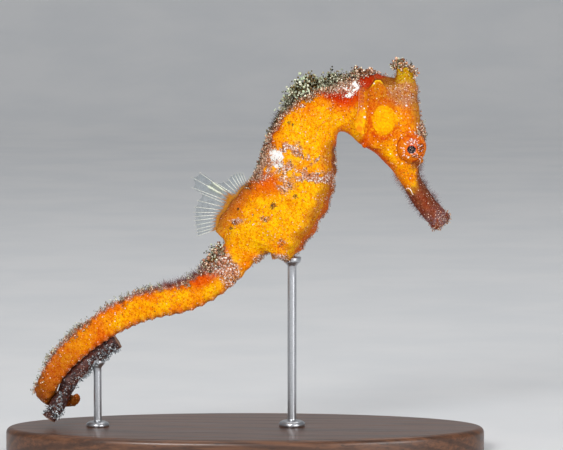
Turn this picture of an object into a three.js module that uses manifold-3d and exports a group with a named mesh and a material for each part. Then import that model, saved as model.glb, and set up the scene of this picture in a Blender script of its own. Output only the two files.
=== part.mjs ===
// A life-size seahorse on a plain display stand. Millimetres, +Z up, origin at the middle of the base's underside.
// The animal faces +X. One axis runs from its mouth over the neck and down the back to the tip of the tail, and
// every piece of its body is a stretch of one surface lofted round that axis. The tail's end grips a cut weed stem.
import * as THREE from "three";
import { mergeVertices } from "three/addons/utils/BufferGeometryUtils.js";
import Module from "manifold-3d";

const wasm = await Module();
wasm.setup();

// ---- Driving dimensions ----

const GAP = 0.3; // between neighbouring pieces
const MOUTH = { x: 39.4, z: 46.1, heading: 131.7 }; // heading in degrees, turning from +X to +Z

// The axis is a chain of arcs, each given by its length and by how far it turns, in degrees.
const AXIS_ARCS = [
  { name: "snout", length: 10.0, turn: -11.1 },
  { name: "face", length: 7.1, turn: -18.5 },
  { name: "cheek", length: 13.3, turn: 63.0 },
  { name: "neck", length: 17.2, turn: 91.9 },
  { name: "chest", length: 9.3, turn: -5.1 },
  { name: "belly", length: 5.7, turn: -16.5 },
  { name: "hip", length: 10.4, turn: 1.8 },
  { name: "tail root", length: 16.9, turn: -47.5 },
  { name: "tail middle", length: 14.7, turn: 26.1 },
  { name: "tail bend", length: 6.7, turn: 5.5 },
  { name: "tail end", length: 15.0, turn: 39.4 },
];
const ARC_BLEND = 1.5; // the turn is averaged over this far each way, so that arcs run smoothly into each other
const AXIS_STEP = 0.1;

// Sizes of the body at named stations: s is the distance from the mouth along the axis, then the reach towards
// the back, the reach towards the belly, half the width, and the squareness of the section (2 is an ellipse).
const STATIONS = [
  { name: "mouth", s: 0.0, back: 2.25, belly: 2.25, half: 1.9, square: 2.2 },
  { name: "snout", s: 5.0, back: 1.85, belly: 2.25, half: 1.75, square: 2.1 },
  { name: "snout base", s: 10.5, back: 2.05, belly: 2.15, half: 1.95, square: 2.1 },
  { name: "eye front", s: 14.0, back: 3.8, belly: 2.85, half: 3.1, square: 2.2 },
  { name: "eye", s: 16.5, back: 5.0, belly: 4.3, half: 3.7, square: 2.3 },
  { name: "jaw", s: 20.0, back: 5.8, belly: 6.0, half: 4.2, square: 2.4 },
  { name: "crown", s: 24.5, back: 8.5, belly: 6.9, half: 4.5, square: 2.3 },
  { name: "nape", s: 28.5, back: 7.0, belly: 6.55, half: 4.2, square: 2.2 },
  { name: "shoulder", s: 30.5, back: 5.9, belly: 6.2, half: 4.1, square: 2.2 },
  { name: "neck", s: 34.0, back: 3.6, belly: 5.9, half: 3.9, square: 2.3 },
  { name: "breast", s: 38.5, back: 3.15, belly: 8.3, half: 4.5, square: 2.3 },
  { name: "chest", s: 46.0, back: 3.9, belly: 9.1, half: 5.1, square: 2.4 },
  { name: "belly", s: 55.5, back: 4.75, belly: 10.6, half: 5.8, square: 2.4 },
  { name: "hip", s: 63.5, back: 5.1, belly: 9.75, half: 5.7, square: 2.4 },
  { name: "trunk end", s: 67.6, back: 4.95, belly: 9.3, half: 4.9, square: 2.5 },
  { name: "vent", s: 68.4, back: 4.85, belly: 4.95, half: 4.4, square: 2.6 },
  { name: "tail start", s: 70.0, back: 4.2, belly: 4.5, half: 3.8, square: 2.8 },
  { name: "tail root", s: 73.0, back: 3.15, belly: 3.5, half: 3.3, square: 3.0 },
  { name: "tail fifth", s: 84.0, back: 2.8, belly: 2.9, half: 2.9, square: 3.0 },
  { name: "tail middle", s: 98.0, back: 3.05, belly: 2.6, half: 2.7, square: 3.0 },
  { name: "tail bend", s: 114.0, back: 2.5, belly: 2.4, half: 2.3, square: 3.0 },
  { name: "tail hook", s: 121.0, back: 2.1, belly: 1.85, half: 1.95, square: 2.8 },
  { name: "tail last", s: 128.5, back: 1.25, belly: 1.15, half: 1.2, square: 2.4 },
  { name: "tail tip", s: 133.0, back: 0.45, belly: 0.45, half: 0.45, square: 2.0 },
];

// The bony rings and the ridges that run along them. A ridge angle is 0 at the back and 180 at the belly.
const VENT_EDGE = [67.6, 68.0, 68.4]; // closer sections where the belly ends abruptly
const TRUNK_RINGS = { count: 11, from: 31.5, to: 69.6 };
const TAIL_RINGS = { count: 35, from: 69.6, to: 133.0, firstPitch: 2.3 };
const TRUNK_RIDGES = [30, 92, 138, 180];
const TAIL_RIDGES = [45, 45, 135, 135];
const RIDGE_WIDTH = 11; // degrees
const RIDGE_HEIGHT = 0.3;
const RING_HEIGHT = 0.22;

// The dorsal fin stands on a low fleshy base, which rises towards the tail and ends there abruptly.
const FIN_BASE = { from: 57.5, to: 70.9, start: 0.9, end: 2.3, spread: 11 };

// Section corners, as angles round the axis: they follow the ridges, and turn from the trunk's to the tail's.
const TRUNK_CORNERS = [0, 15, 30, 50, 70, 92, 115, 138, 159];
const TAIL_CORNERS = [0, 22, 45, 62, 78, 95, 112, 135, 158];

const EYE = { x: 33.3, z: 60.7, out: 2.65, radius: 2.45, socket: 3.1 };
const OPERCLE = { x: 27.3, z: 66.3, long: 4.6, high: 5.4, out: 4.85, turn: -20 };
const BROW_SPINE = { x: 35.3, z: 64.4, out: 1.9, length: 1.5, radius: 0.8, lean: 45 };
const NOSE_SPINE = { x: 34.6, z: 58.2, out: 0, length: 1.0, radius: 0.6, lean: 20 };
const CHEEK_SPINE = { x: 24.4, z: 61.9, out: 2.4, length: 1.3, radius: 0.8, lean: 235 };
const CORONET = { x: 31.6, z: 73.7, height: 4.5, lean: 88, points: 5, waist: 1.6, top: 1.75, tip: 2.6 };

// Ray lengths of the dorsal fin, from its front (share 0) to its end (share 1): its second quarter stands high.
const DORSAL_FIN = {
  from: 58.6,
  to: 70.5,
  rays: 17,
  thickness: 0.5,
  front: -50, // lean of the first and last ray from straight out, in degrees towards the tail
  end: 53,
  shares: [0, 0.24, 0.33, 0.41, 0.52, 0.75, 1],
  lengths: [2.6, 3.6, 7.6, 8.8, 6.4, 5.4, 4.3],
  wave: 1.1,
};
const PECTORAL_FIN = { x: 24.2, low: 67.2, high: 72.4, out: 4.35, length: 4.2, flare: 62, spread: 15, thickness: 0.5 };
const ANAL_FIN = { x: 5.6, z: 40.7, root: 1.3, tip: 1.9, length: 2.1, heading: -66, thickness: 0.5 };

// The weed stem: lean is its angle above +X below the grip. Above the grip it follows the tail's belly side.
const STEM = { radius: 1.25, lean: 57, below: 6.9, above: 16.0, swell: 0.1, sides: 12 };
const GRIP = { start: 118.8, turnLength: 7.2, turn: 119, slack: 0.15 };

const BASE = { length: 96, width: 42, thickness: 5, chamfer: 0.9, sides: 56 };
const BODY_ROD = { x: 9.4, radius: 0.9, collar: 2.6, collarHeight: 1.2, cup: 1.8, cupHeight: 1.9, top: 39.2 };
const STEM_ROD = { x: -29.6, radius: 0.8, collar: 2.3, collarHeight: 1.0, cup: 1.5, cupHeight: 1.8, top: 18.6 };

// Where the body is parted, as distances along the axis.
const CUTS = {
  snout: [-0.6, 12.6],
  head: [12.6, 28.2],
  shoulder_ring: [28.2, 33.2],
  trunk_upper: [33.2, 45.4],
  trunk_middle: [45.4, 59.2],
  trunk_lower: [59.2, 69.6],
};
const TAIL_PIECES = ["root", "upper", "middle", "lower", "bend", "hook"];

// ---- Small helpers ----

const radians = THREE.MathUtils.degToRad;

// A smooth curve through (x, y) pairs that never overshoots them.
function smoothThrough(xs, ys) {
  const slopes = xs.slice(1).map((x, i) => (ys[i + 1] - ys[i]) / (x - xs[i]));
  const tangents = ys.map((_, i) => {
    const [before, after] = [slopes[i - 1] ?? slopes[i], slopes[i] ?? slopes[i - 1]];
    return before * after <= 0 ? 0 : (2 * before * after) / (before + after);
  });
  return (x) => {
    const at = THREE.MathUtils.clamp(x, xs[0], xs[xs.length - 1]);
    let i = 0;
    while (i < xs.length - 2 && at > xs[i + 1]) i += 1;
    const width = xs[i + 1] - xs[i];
    const t = (at - xs[i]) / width;
    const rise = t * t * (3 - 2 * t);
    const leaving = t * (1 - t) * (1 - t) * width * tangents[i];
    const arriving = t * t * (t - 1) * width * tangents[i + 1];
    return ys[i] + rise * (ys[i + 1] - ys[i]) + leaving + arriving;
  };
}

const stationCurve = (key) => smoothThrough(STATIONS.map((p) => p.s), STATIONS.map((p) => p[key]));
const size = {
  back: stationCurve("back"),
  belly: stationCurve("belly"),
  half: stationCurve("half"),
  square: stationCurve("square"),
};

const bell = (x, width) => Math.exp(-((x / width) ** 2));
const smoothStep = (x, low, high) => THREE.MathUtils.smoothstep(x, low, high);

// A closed surface through rings of points that all have the same count, capped at both ends.
function loft(rings) {
  const sides = rings[0].length;
  const points = rings.flat();
  const middleOf = (ring) => ring.reduce((sum, p) => sum.add(p), new THREE.Vector3()).divideScalar(sides);
  const first = points.push(middleOf(rings[0])) - 1;
  const last = points.push(middleOf(rings[rings.length - 1])) - 1;
  const faces = [];
  const lastRing = (rings.length - 1) * sides;
  for (let j = 0; j < sides; j += 1) {
    const next = (j + 1) % sides;
    faces.push(first, next, j);
    faces.push(last, lastRing + j, lastRing + next);
    for (let i = 0; i < rings.length - 1; i += 1) {
      const [a, b] = [i * sides + j, i * sides + next];
      faces.push(a, b, b + sides, a, b + sides, a + sides);
    }
  }
  return new THREE.BufferGeometry().setFromPoints(points).setIndex(faces);
}

// A thin closed plate: a grid of places, each with the direction that its thickness goes in.
function plate(grid, thickness) {
  const across = grid[0].length;
  const sheet = (side) =>
    grid.flat().map(({ at, normal }) => at.clone().addScaledVector(normal, (side * thickness) / 2));
  const points = [...sheet(1), ...sheet(-1)];
  const under = grid.length * across;
  const faces = [];
  for (let i = 0; i < grid.length - 1; i += 1) {
    for (let j = 0; j < across - 1; j += 1) {
      const [a, b, c, d] = [i * across + j, i * across + j + 1, (i + 1) * across + j + 1, (i + 1) * across + j];
      faces.push(a, b, c, a, c, d);
      faces.push(under + a, under + c, under + b, under + a, under + d, under + c);
    }
  }
  const rim = [];
  for (let j = 0; j < across - 1; j += 1) rim.push(j);
  for (let i = 0; i < grid.length - 1; i += 1) rim.push(i * across + across - 1);
  for (let j = across - 1; j > 0; j -= 1) rim.push((grid.length - 1) * across + j);
  for (let i = grid.length - 1; i > 0; i -= 1) rim.push(i * across);
  rim.forEach((a, k) => {
    const b = rim[(k + 1) % rim.length];
    faces.push(a, under + a, under + b, a, under + b, b);
  });
  return new THREE.BufferGeometry().setFromPoints(points).setIndex(faces);
}

// A geometry as a manifold-3d solid, turned face outwards, and back again.
function solidOf(geometry) {
  const bare = geometry.clone();
  bare.deleteAttribute("normal");
  bare.deleteAttribute("uv");
  const merged = mergeVertices(bare, 1e-4);
  const triVerts = new Uint32Array(merged.index.array);
  const vertProperties = new Float32Array(merged.attributes.position.array);
  const made = new wasm.Manifold(new wasm.Mesh({ numProp: 3, vertProperties, triVerts }));
  if (made.volume() > 0) return made;
  for (let i = 0; i < triVerts.length; i += 3) [triVerts[i + 1], triVerts[i + 2]] = [triVerts[i + 2], triVerts[i + 1]];
  return new wasm.Manifold(new wasm.Mesh({ numProp: 3, vertProperties, triVerts }));
}

function geometryOf(solid) {
  const { numProp, vertProperties, triVerts } = solid.getMesh();
  const count = vertProperties.length / numProp;
  const position = new Float32Array(count * 3);
  for (let i = 0; i < count; i += 1) {
    position.set(vertProperties.subarray(i * numProp, i * numProp + 3), i * 3);
  }
  const made = new THREE.BufferGeometry()
    .setAttribute("position", new THREE.BufferAttribute(position, 3))
    .setIndex(new THREE.BufferAttribute(triVerts, 1));
  made.computeVertexNormals();
  return made;
}

// An ellipsoid with half sizes (x, y, z), turned about Y by an angle in degrees and set at a place.
function ellipsoid(half, turn, at) {
  const made = new THREE.SphereGeometry(1, 14, 8).rotateX(Math.PI / 2);
  return made.scale(...half).rotateY(-radians(turn)).translate(...at);
}

// A blunt spine from a place, leaning by an angle above +X in the animal's middle plane.
function spine({ x, z, out, length, radius, lean }, side) {
  const made = new THREE.ConeGeometry(radius, length + radius, 8, 1).translate(0, length / 2, 0);
  return made.rotateX(Math.PI / 2).rotateY(radians(90 - lean)).translate(x, side * out, z);
}

// ---- The axis ----

const arcEnds = [0];
const headings = [MOUTH.heading];
AXIS_ARCS.forEach(({ length, turn }, i) => {
  arcEnds.push(arcEnds[i] + length);
  headings.push(headings[i] + turn);
});

function headingAt(s) {
  const plain = (at) => {
    const i = Math.max(0, Math.min(AXIS_ARCS.length - 1, arcEnds.findIndex((end) => end > at) - 1));
    const k = at > arcEnds[arcEnds.length - 1] ? AXIS_ARCS.length - 1 : i;
    const share = THREE.MathUtils.clamp((at - arcEnds[k]) / AXIS_ARCS[k].length, 0, 1);
    return headings[k] + share * AXIS_ARCS[k].turn;
  };
  const spots = [-1, -0.5, 0, 0.5, 1].map((share) => plain(s + share * ARC_BLEND));
  return radians(spots.reduce((sum, h) => sum + h, 0) / spots.length);
}

const stemUp = new THREE.Vector3(Math.cos(radians(STEM.lean)), 0, Math.sin(radians(STEM.lean)));
const stemSide = new THREE.Vector3(-stemUp.z, 0, stemUp.x); // from the stem towards the tail above the grip
const across = new THREE.Vector3(0, 1, 0);

// How far the tail's axis stays from the stem's: they touch, but for the gap.
const gripRadius = (s) => STEM.radius + STEM.radius * STEM.swell + GAP + size.belly(s) + GRIP.slack;

// Samples of the axis: each has its place, the way along, the way to the back and the way across.
const axis = (() => {
  const total = STATIONS[STATIONS.length - 1].s;
  const places = [new THREE.Vector3(MOUTH.x, 0, MOUTH.z)];
  const backs = [];
  let grip = null;
  for (let i = 0; i <= Math.round(total / AXIS_STEP); i += 1) {
    const s = i * AXIS_STEP;
    const here = places[i];
    if (s < GRIP.start) {
      const heading = headingAt(s + AXIS_STEP / 2);
      const along = new THREE.Vector3(Math.cos(heading), 0, Math.sin(heading));
      backs.push(new THREE.Vector3(along.z, 0, -along.x));
      places.push(here.clone().addScaledVector(along, AXIS_STEP));
      continue;
    }
    grip ??= { middle: here.clone().addScaledVector(stemSide, -gripRadius(s)), down: 0, round: 0 };
    const share = Math.min(1, (s - GRIP.start) / GRIP.turnLength);
    const pitch = radians(GRIP.turn * share);
    grip.down += Math.cos(pitch) * AXIS_STEP;
    grip.round += (Math.sin(pitch) * AXIS_STEP) / gripRadius(s);
    const out = stemSide.clone().multiplyScalar(Math.cos(grip.round)).addScaledVector(across, Math.sin(grip.round));
    const ease = smoothStep(s, GRIP.start, GRIP.start + 3);
    backs.push(backs[backs.length - 1].clone().lerp(out, Math.max(ease, 0.02)).normalize());
    const next = grip.middle.clone().addScaledVector(stemUp, -grip.down);
    places.push(next.addScaledVector(out, gripRadius(s + AXIS_STEP)));
  }
  const smooth = (list, i, reach) => {
    const sum = new THREE.Vector3();
    for (let k = -reach; k <= reach; k += 1) sum.add(list[THREE.MathUtils.clamp(i + k, 0, list.length - 1)]);
    return sum.divideScalar(2 * reach + 1);
  };
  const reach = (i) => Math.min(6, i, backs.length - 1 - i);
  const settled = backs.map((_, i) => smooth(places, i, reach(i)));
  const samples = settled.map((at, i) => {
    const [from, to] = [settled[Math.max(0, i - 1)], settled[Math.min(settled.length - 1, i + 1)]];
    const along = to.clone().sub(from).normalize();
    const back = smooth(backs, i, reach(i));
    back.addScaledVector(along, -back.dot(along)).normalize();
    return { at, along, back, side: new THREE.Vector3().crossVectors(along, back) };
  });
  samples.stemFoot = grip.middle;
  return samples;
})();

function frameAt(s) {
  const i = THREE.MathUtils.clamp(s / AXIS_STEP, 0, axis.length - 1);
  const [low, high] = [axis[Math.floor(i)], axis[Math.ceil(i)]];
  const mix = (key) => low[key].clone().lerp(high[key], i - Math.floor(i));
  const frame = { at: mix("at"), along: mix("along"), back: mix("back"), side: mix("side") };
  frame.at.addScaledVector(frame.along, Math.min(0, s));
  return frame;
}

// ---- The body's surface ----

const tailShare = (s) => smoothStep(s, TRUNK_RINGS.to - 2, TRUNK_RINGS.to + 4);
const ridgeShare = (s) => smoothStep(s, TRUNK_RINGS.from - 1, TRUNK_RINGS.from + 4);

// How many rings lie before a place: whole numbers fall in the grooves between rings.
function ringsBefore(s) {
  if (s <= TRUNK_RINGS.to) {
    return ((s - TRUNK_RINGS.from) / (TRUNK_RINGS.to - TRUNK_RINGS.from)) * TRUNK_RINGS.count;
  }
  const { count, from, to, firstPitch } = TAIL_RINGS;
  const t = (s - from) / (to - from);
  const early = (to - from) / firstPitch;
  return TRUNK_RINGS.count + early * t + (count - early) * t * t;
}

// The place along the axis where that many rings have passed.
function placeOfRing(rings) {
  let [low, high] = [TRUNK_RINGS.from - 5, TAIL_RINGS.to];
  for (let i = 0; i < 40; i += 1) {
    const middle = (low + high) / 2;
    if (ringsBefore(middle) < rings) low = middle;
    else high = middle;
  }
  return (low + high) / 2;
}

// On the inside of the neck's bend the rings crowd together and fade out: 0 in the open, 1 where they vanish.
function crowding(s, angle) {
  const bend = s < TRUNK_RINGS.to ? headingAt(s + 1) - headingAt(s - 1) : 0;
  const inside = (bend / 2) * (size.belly(s) + 1) * Math.max(0, -Math.cos(radians(angle)));
  return THREE.MathUtils.clamp(inside * 1.3, 0, 1);
}

// The reach of the surface beyond the plain section, from the ridges, rings and fin base.
function relief(s, angle) {
  const trunk = TRUNK_RIDGES.reduce((sum, ridge) => sum + bell(angle - ridge, RIDGE_WIDTH), 0);
  const tail = TAIL_RIDGES.reduce((sum, ridge) => sum + bell(angle - ridge, RIDGE_WIDTH * 1.3) / 2, 0);
  const ridge = THREE.MathUtils.lerp(trunk, tail, tailShare(s)) * ridgeShare(s);
  const crest = (0.5 - 0.5 * Math.cos(2 * Math.PI * ringsBefore(s))) * ridgeShare(s);
  const fade = (1 - 0.65 * smoothStep(s, 100, TAIL_RINGS.to)) * (1 - crowding(s, angle));
  const { from, to, start, end, spread } = FIN_BASE;
  const finEnds = smoothStep(s, from - 1.5, from + 1) * (1 - smoothStep(s, to, to + 0.7));
  const fin = THREE.MathUtils.mapLinear(s, from, to, start, end) * bell(angle, spread) * finEnds;
  return (RIDGE_HEIGHT * ridge * (0.4 + 0.6 * crest) + RING_HEIGHT * crest) * fade + fin;
}

// A point of the surface, grown outwards by a margin. The angle goes from 0 at the back to 180 at the belly.
function surfacePoint(s, angle, side, grow = 0, shrink = 1) {
  const { at, back, side: lateral } = frameAt(s);
  const [top, bottom, half, power] = [size.back(s), size.belly(s), size.half(s), size.square(s)];
  const depth = (top + bottom) / 2;
  const [c, d] = [Math.cos(radians(angle)), Math.sin(radians(angle))];
  const reach = (Math.abs(c / depth) ** power + Math.abs(d / half) ** power) ** (-1 / power);
  const out = (reach + relief(s, angle) + grow) * shrink;
  const middle = (top - bottom) / 2;
  return at.clone().addScaledVector(back, middle + out * c).addScaledVector(lateral, side * out * d);
}

function sectionRing(s, grow, shrink) {
  const half = TRUNK_CORNERS.map((corner, i) => THREE.MathUtils.lerp(corner, TAIL_CORNERS[i], tailShare(s)));
  const right = half.map((angle) => surfacePoint(s, angle, 1, grow, shrink));
  const left = half.slice(1).reverse().map((angle) => surfacePoint(s, angle, -1, grow, shrink));
  return [...right, surfacePoint(s, 180, 1, grow, shrink), ...left];
}

// The places of the sections between two cuts: every ring's groove and crest, and even steps on the head.
function sectionPlaces(from, to) {
  const places = [from];
  const ringStart = Math.ceil(ringsBefore(from) * 2 + 0.2);
  const headStep = 1.3;
  for (let s = from + headStep; s < Math.min(to, TRUNK_RINGS.from) - headStep / 2; s += headStep) places.push(s);
  for (let k = Math.max(0, ringStart); placeOfRing(k / 2) < to - 0.25 && k / 2 < 46; k += 1) {
    const s = placeOfRing(k / 2);
    if (s > places[places.length - 1] + 0.25) places.push(s);
  }
  const ventEdge = VENT_EDGE.filter((s) => s > from + 0.3 && s < to - 0.3);
  const all = [...places, ...ventEdge, to].sort((a, b) => a - b);
  return all.filter((s, i) => i === 0 || s - all[i - 1] > 0.2 || s === to);
}

function bodyStretch(from, to, grow = 0) {
  return loft(sectionPlaces(from, to).map((s) => sectionRing(s, grow, 1)));
}

// The snout's front end is rounded by a last few smaller sections round the mouth.
function snoutShape() {
  const [from, to] = CUTS.snout;
  const lips = [
    [from, 0.35],
    [from + 0.12, 0.72],
    [from + 0.4, 0.92],
  ].map(([s, shrink]) => sectionRing(s, 0, shrink));
  return loft([...lips, ...sectionPlaces(-0.1, to - GAP / 2).map((s) => sectionRing(s, 0, 1))]);
}

// The last length of the tail ends in a blunt tip.
function tailTipShape(from) {
  const end = TAIL_RINGS.to;
  const rings = sectionPlaces(from, end - 0.3).map((s) => sectionRing(s, 0, 1));
  return loft([...rings, sectionRing(end - 0.05, 0, 0.7), sectionRing(end, 0, 0.3)]);
}

// ---- The head and its pieces ----

function eyeball(side, grow = 0) {
  const r = EYE.radius + grow;
  return new THREE.SphereGeometry(r, 16, 10).rotateX(Math.PI / 2).translate(EYE.x, side * EYE.out, EYE.z);
}

function headShape() {
  const [from, to] = CUTS.head;
  let made = solidOf(bodyStretch(from + GAP / 2, to - GAP / 2));
  for (const side of [-1, 1]) {
    const socket = ellipsoid([EYE.socket, 1.9, EYE.socket], 0, [EYE.x - 0.2, side * (EYE.out + 0.35), EYE.z]);
    const { long, high, out, turn } = OPERCLE;
    const gillCover = ellipsoid([long, 1.6, high], turn, [OPERCLE.x, side * (out - 1.6), OPERCLE.z]);
    const lumps = [socket, gillCover, spine(BROW_SPINE, side), spine(CHEEK_SPINE, side)];
    for (const lump of lumps) made = made.add(solidOf(lump));
  }
  made = made.add(solidOf(spine(NOSE_SPINE, 0)));
  for (const side of [-1, 1]) made = made.subtract(solidOf(eyeball(side, GAP)));
  const behind = solidOf(bodyStretch(to - GAP / 2, to + 6, 2));
  return geometryOf(made.subtract(behind).simplify(0.05));
}

// The coronet: a waisted stalk that opens into a ring of blunt points round a shallow cup.
function coronetShape() {
  const { points, height, waist, top, tip, lean } = CORONET;
  const sides = points * 4;
  const up = new THREE.Vector3(Math.cos(radians(lean)), 0, Math.sin(radians(lean)));
  const fore = new THREE.Vector3(up.z, 0, -up.x);
  const foot = new THREE.Vector3(CORONET.x, 0, CORONET.z);
  const ring = (rise, radius, star, crown = 0) =>
    Array.from({ length: sides }, (_, j) => {
      const turn = (2 * Math.PI * j) / sides;
      const peak = (0.5 + 0.5 * Math.cos(points * turn)) ** 2;
      const r = radius + star * peak;
      const place = foot.clone().addScaledVector(up, rise + crown * peak);
      return place.addScaledVector(fore, r * Math.cos(turn)).addScaledVector(across, r * Math.sin(turn));
    });
  const rings = [
    ring(-0.4, waist * 1.5, 0),
    ring(height * 0.2, waist * 1.15, 0.1),
    ring(height * 0.42, waist, 0.1),
    ring(height * 0.65, waist, 0.3),
    ring(height * 0.82, top, (tip - top) * 0.9, 0.35),
    ring(height * 0.84, top * 0.72, (tip - top) * 0.7, height * 0.16),
    ring(height * 0.74, top * 0.45, 0),
  ];
  const [from, to] = CUTS.head;
  return geometryOf(solidOf(loft(rings)).subtract(solidOf(bodyStretch(from, to + 1, GAP))));
}

function shoulderShape() {
  const [from, to] = CUTS.shoulder_ring;
  return bodyStretch(from + GAP / 2, to - GAP / 2);
}

// ---- The fins ----

function dorsalFinShape() {
  const { from, to, rays, front, end, wave, thickness } = DORSAL_FIN;
  const lengthAt = smoothThrough(DORSAL_FIN.shares, DORSAL_FIN.lengths);
  const steps = 5;
  const grid = Array.from({ length: rays }, (_, i) => {
    const share = i / (rays - 1); // 0 at the front ray, 1 at the last
    const s = THREE.MathUtils.lerp(from, to, share);
    const { along, back } = frameAt(s);
    const root = surfacePoint(s, 0, 1, GAP);
    const fan = radians(THREE.MathUtils.lerp(front, end, share));
    const ray = back.clone().multiplyScalar(Math.cos(fan)).addScaledVector(along, Math.sin(fan));
    const length = lengthAt(share);
    return Array.from({ length: steps }, (_, j) => {
      const rise = j / (steps - 1);
      const sway = wave * rise * rise * Math.sin(2.4 * Math.PI * share + 0.6);
      return { at: root.clone().addScaledVector(ray, length * rise).addScaledVector(across, sway), normal: across };
    });
  });
  return geometryOf(solidOf(plate(grid, thickness)));
}

function pectoralFinShape(side) {
  const { x, low, high, out, length, flare, spread, thickness } = PECTORAL_FIN;
  const [rays, steps] = [9, 4];
  const outward = new THREE.Vector3(-Math.cos(radians(flare)), side * Math.sin(radians(flare)), 0);
  const grid = Array.from({ length: rays }, (_, i) => {
    const share = i / (rays - 1);
    const fan = radians(THREE.MathUtils.lerp(-spread, spread, share));
    const root = new THREE.Vector3(x, side * out, THREE.MathUtils.lerp(low, high, share));
    const ray = outward.clone().multiplyScalar(Math.cos(fan));
    ray.z += Math.sin(fan);
    const reach = length * (0.8 + 0.2 * Math.sin(Math.PI * share));
    return Array.from({ length: steps }, (_, j) => {
      const rise = j / (steps - 1);
      const normal = new THREE.Vector3(Math.sin(radians(flare)), side * Math.cos(radians(flare)), 0);
      return { at: root.clone().addScaledVector(ray, reach * rise), normal };
    });
  });
  const body = solidOf(bodyStretch(CUTS.head[0], CUTS.trunk_upper[1], GAP));
  return geometryOf(solidOf(plate(grid, thickness)).subtract(body));
}

function analFinShape() {
  const { x, z, root, tip, length, heading, thickness } = ANAL_FIN;
  const way = new THREE.Vector3(Math.cos(radians(heading)), 0, Math.sin(radians(heading)));
  const wide = new THREE.Vector3(-way.z, 0, way.x);
  const grid = [-0.5, -0.2, 0.2, 0.5].map((share) =>
    [0, 0.5, 1].map((rise) => {
      const spread = share * THREE.MathUtils.lerp(root, tip, rise);
      const reach = length * rise * (1 - 0.5 * share * share);
      const at = new THREE.Vector3(x, 0, z).addScaledVector(way, reach).addScaledVector(wide, spread);
      return { at, normal: across };
    }),
  );
  const body = solidOf(bodyStretch(CUTS.trunk_lower[0], CUTS.trunk_lower[1] + 6, GAP));
  return geometryOf(solidOf(plate(grid, thickness)).subtract(body));
}

// ---- The weed stem and the stand ----

// The stem's middle line, t along it from where the tail starts to grip: straight below that, and above it
// alongside the tail. The change from one to the other is eased.
function stemPlace(t) {
  const plain = (u) => {
    if (u < 0) return axis.stemFoot.clone().addScaledVector(stemUp, u);
    const { at, back } = frameAt(GRIP.start - u);
    return at.clone().addScaledVector(back, -gripRadius(GRIP.start - u));
  };
  const spots = [-1.2, -0.6, 0, 0.6, 1.2].map((step) => plain(t + step));
  return spots.reduce((sum, p) => sum.add(p), new THREE.Vector3()).divideScalar(spots.length);
}

function stemShape(grow = 0) {
  const steps = 18;
  const rings = Array.from({ length: steps + 1 }, (_, i) => {
    const t = THREE.MathUtils.lerp(-STEM.below - grow, STEM.above + grow, i / steps);
    const way = stemPlace(t + 0.05).sub(stemPlace(t - 0.05)).normalize();
    const up = new THREE.Vector3(-way.z, 0, way.x);
    const radius = STEM.radius * (1 + STEM.swell * Math.sin(t * 1.3)) + grow;
    return Array.from({ length: STEM.sides }, (_, j) => {
      const turn = (2 * Math.PI * j) / STEM.sides;
      const place = stemPlace(t).addScaledVector(up, radius * Math.cos(turn));
      return place.addScaledVector(across, radius * Math.sin(turn));
    });
  });
  return loft(rings);
}

function baseShape() {
  const { length, width, thickness, chamfer, sides } = BASE;
  const ring = (inset, z) =>
    Array.from({ length: sides }, (_, j) => {
      const turn = (2 * Math.PI * j) / sides;
      return new THREE.Vector3((length / 2 - inset) * Math.cos(turn), (width / 2 - inset) * Math.sin(turn), z);
    });
  const foot = 0.4;
  return loft([
    ring(foot, 0),
    ring(0, foot),
    ring(0, thickness - chamfer),
    ring(chamfer * 0.3, thickness - chamfer * 0.3),
    ring(chamfer, thickness),
  ]);
}

// A rod with a collar on the base and a cup that opens under what it holds, hollowed to fit that with a gap.
function rodShape({ x, radius, collar, collarHeight, cup, cupHeight, top }, held) {
  const floor = BASE.thickness;
  const profile = [
    [0, floor],
    [collar, floor],
    [collar, floor + collarHeight * 0.6],
    [collar * 0.8, floor + collarHeight],
    [radius, floor + collarHeight],
    [radius, top - cupHeight],
    [cup, top - cupHeight * 0.35],
    [cup, top],
    [0, top],
  ].map(([r, z]) => new THREE.Vector2(r, z));
  const made = new THREE.LatheGeometry(profile, 16).rotateX(Math.PI / 2).translate(x, 0, 0);
  const cut = solidOf(made).subtract(solidOf(held));
  const pieces = cut.decompose().sort((a, b) => a.boundingBox().min[2] - b.boundingBox().min[2]);
  return geometryOf(pieces[0]);
}

// ---- Putting it together ----

const material = (color, roughness, metalness = 0, more = {}) =>
  new THREE.MeshStandardMaterial({ color, roughness, metalness, ...more });
const finishes = {
  skin: material(0xf59a0c, 0.6),
  snout: material(0x9a4a3a, 0.6),
  crown: material(0xc9a01c, 0.65),
  eye: material(0x2a1a16, 0.15),
  fin: material(0xd9dccb, 0.35, 0, { transparent: true, opacity: 0.6 }),
  stem: material(0x4a201c, 0.8),
  wood: material(0x2c1d14, 0.4),
  steel: material(0xb9bcc0, 0.3, 1),
};

const seahorse = new THREE.Group();
function addPiece(name, geometry, finish) {
  const mesh = new THREE.Mesh(geometryOf(solidOf(geometry)), finishes[finish]);
  mesh.name = name;
  seahorse.add(mesh);
}

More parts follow.
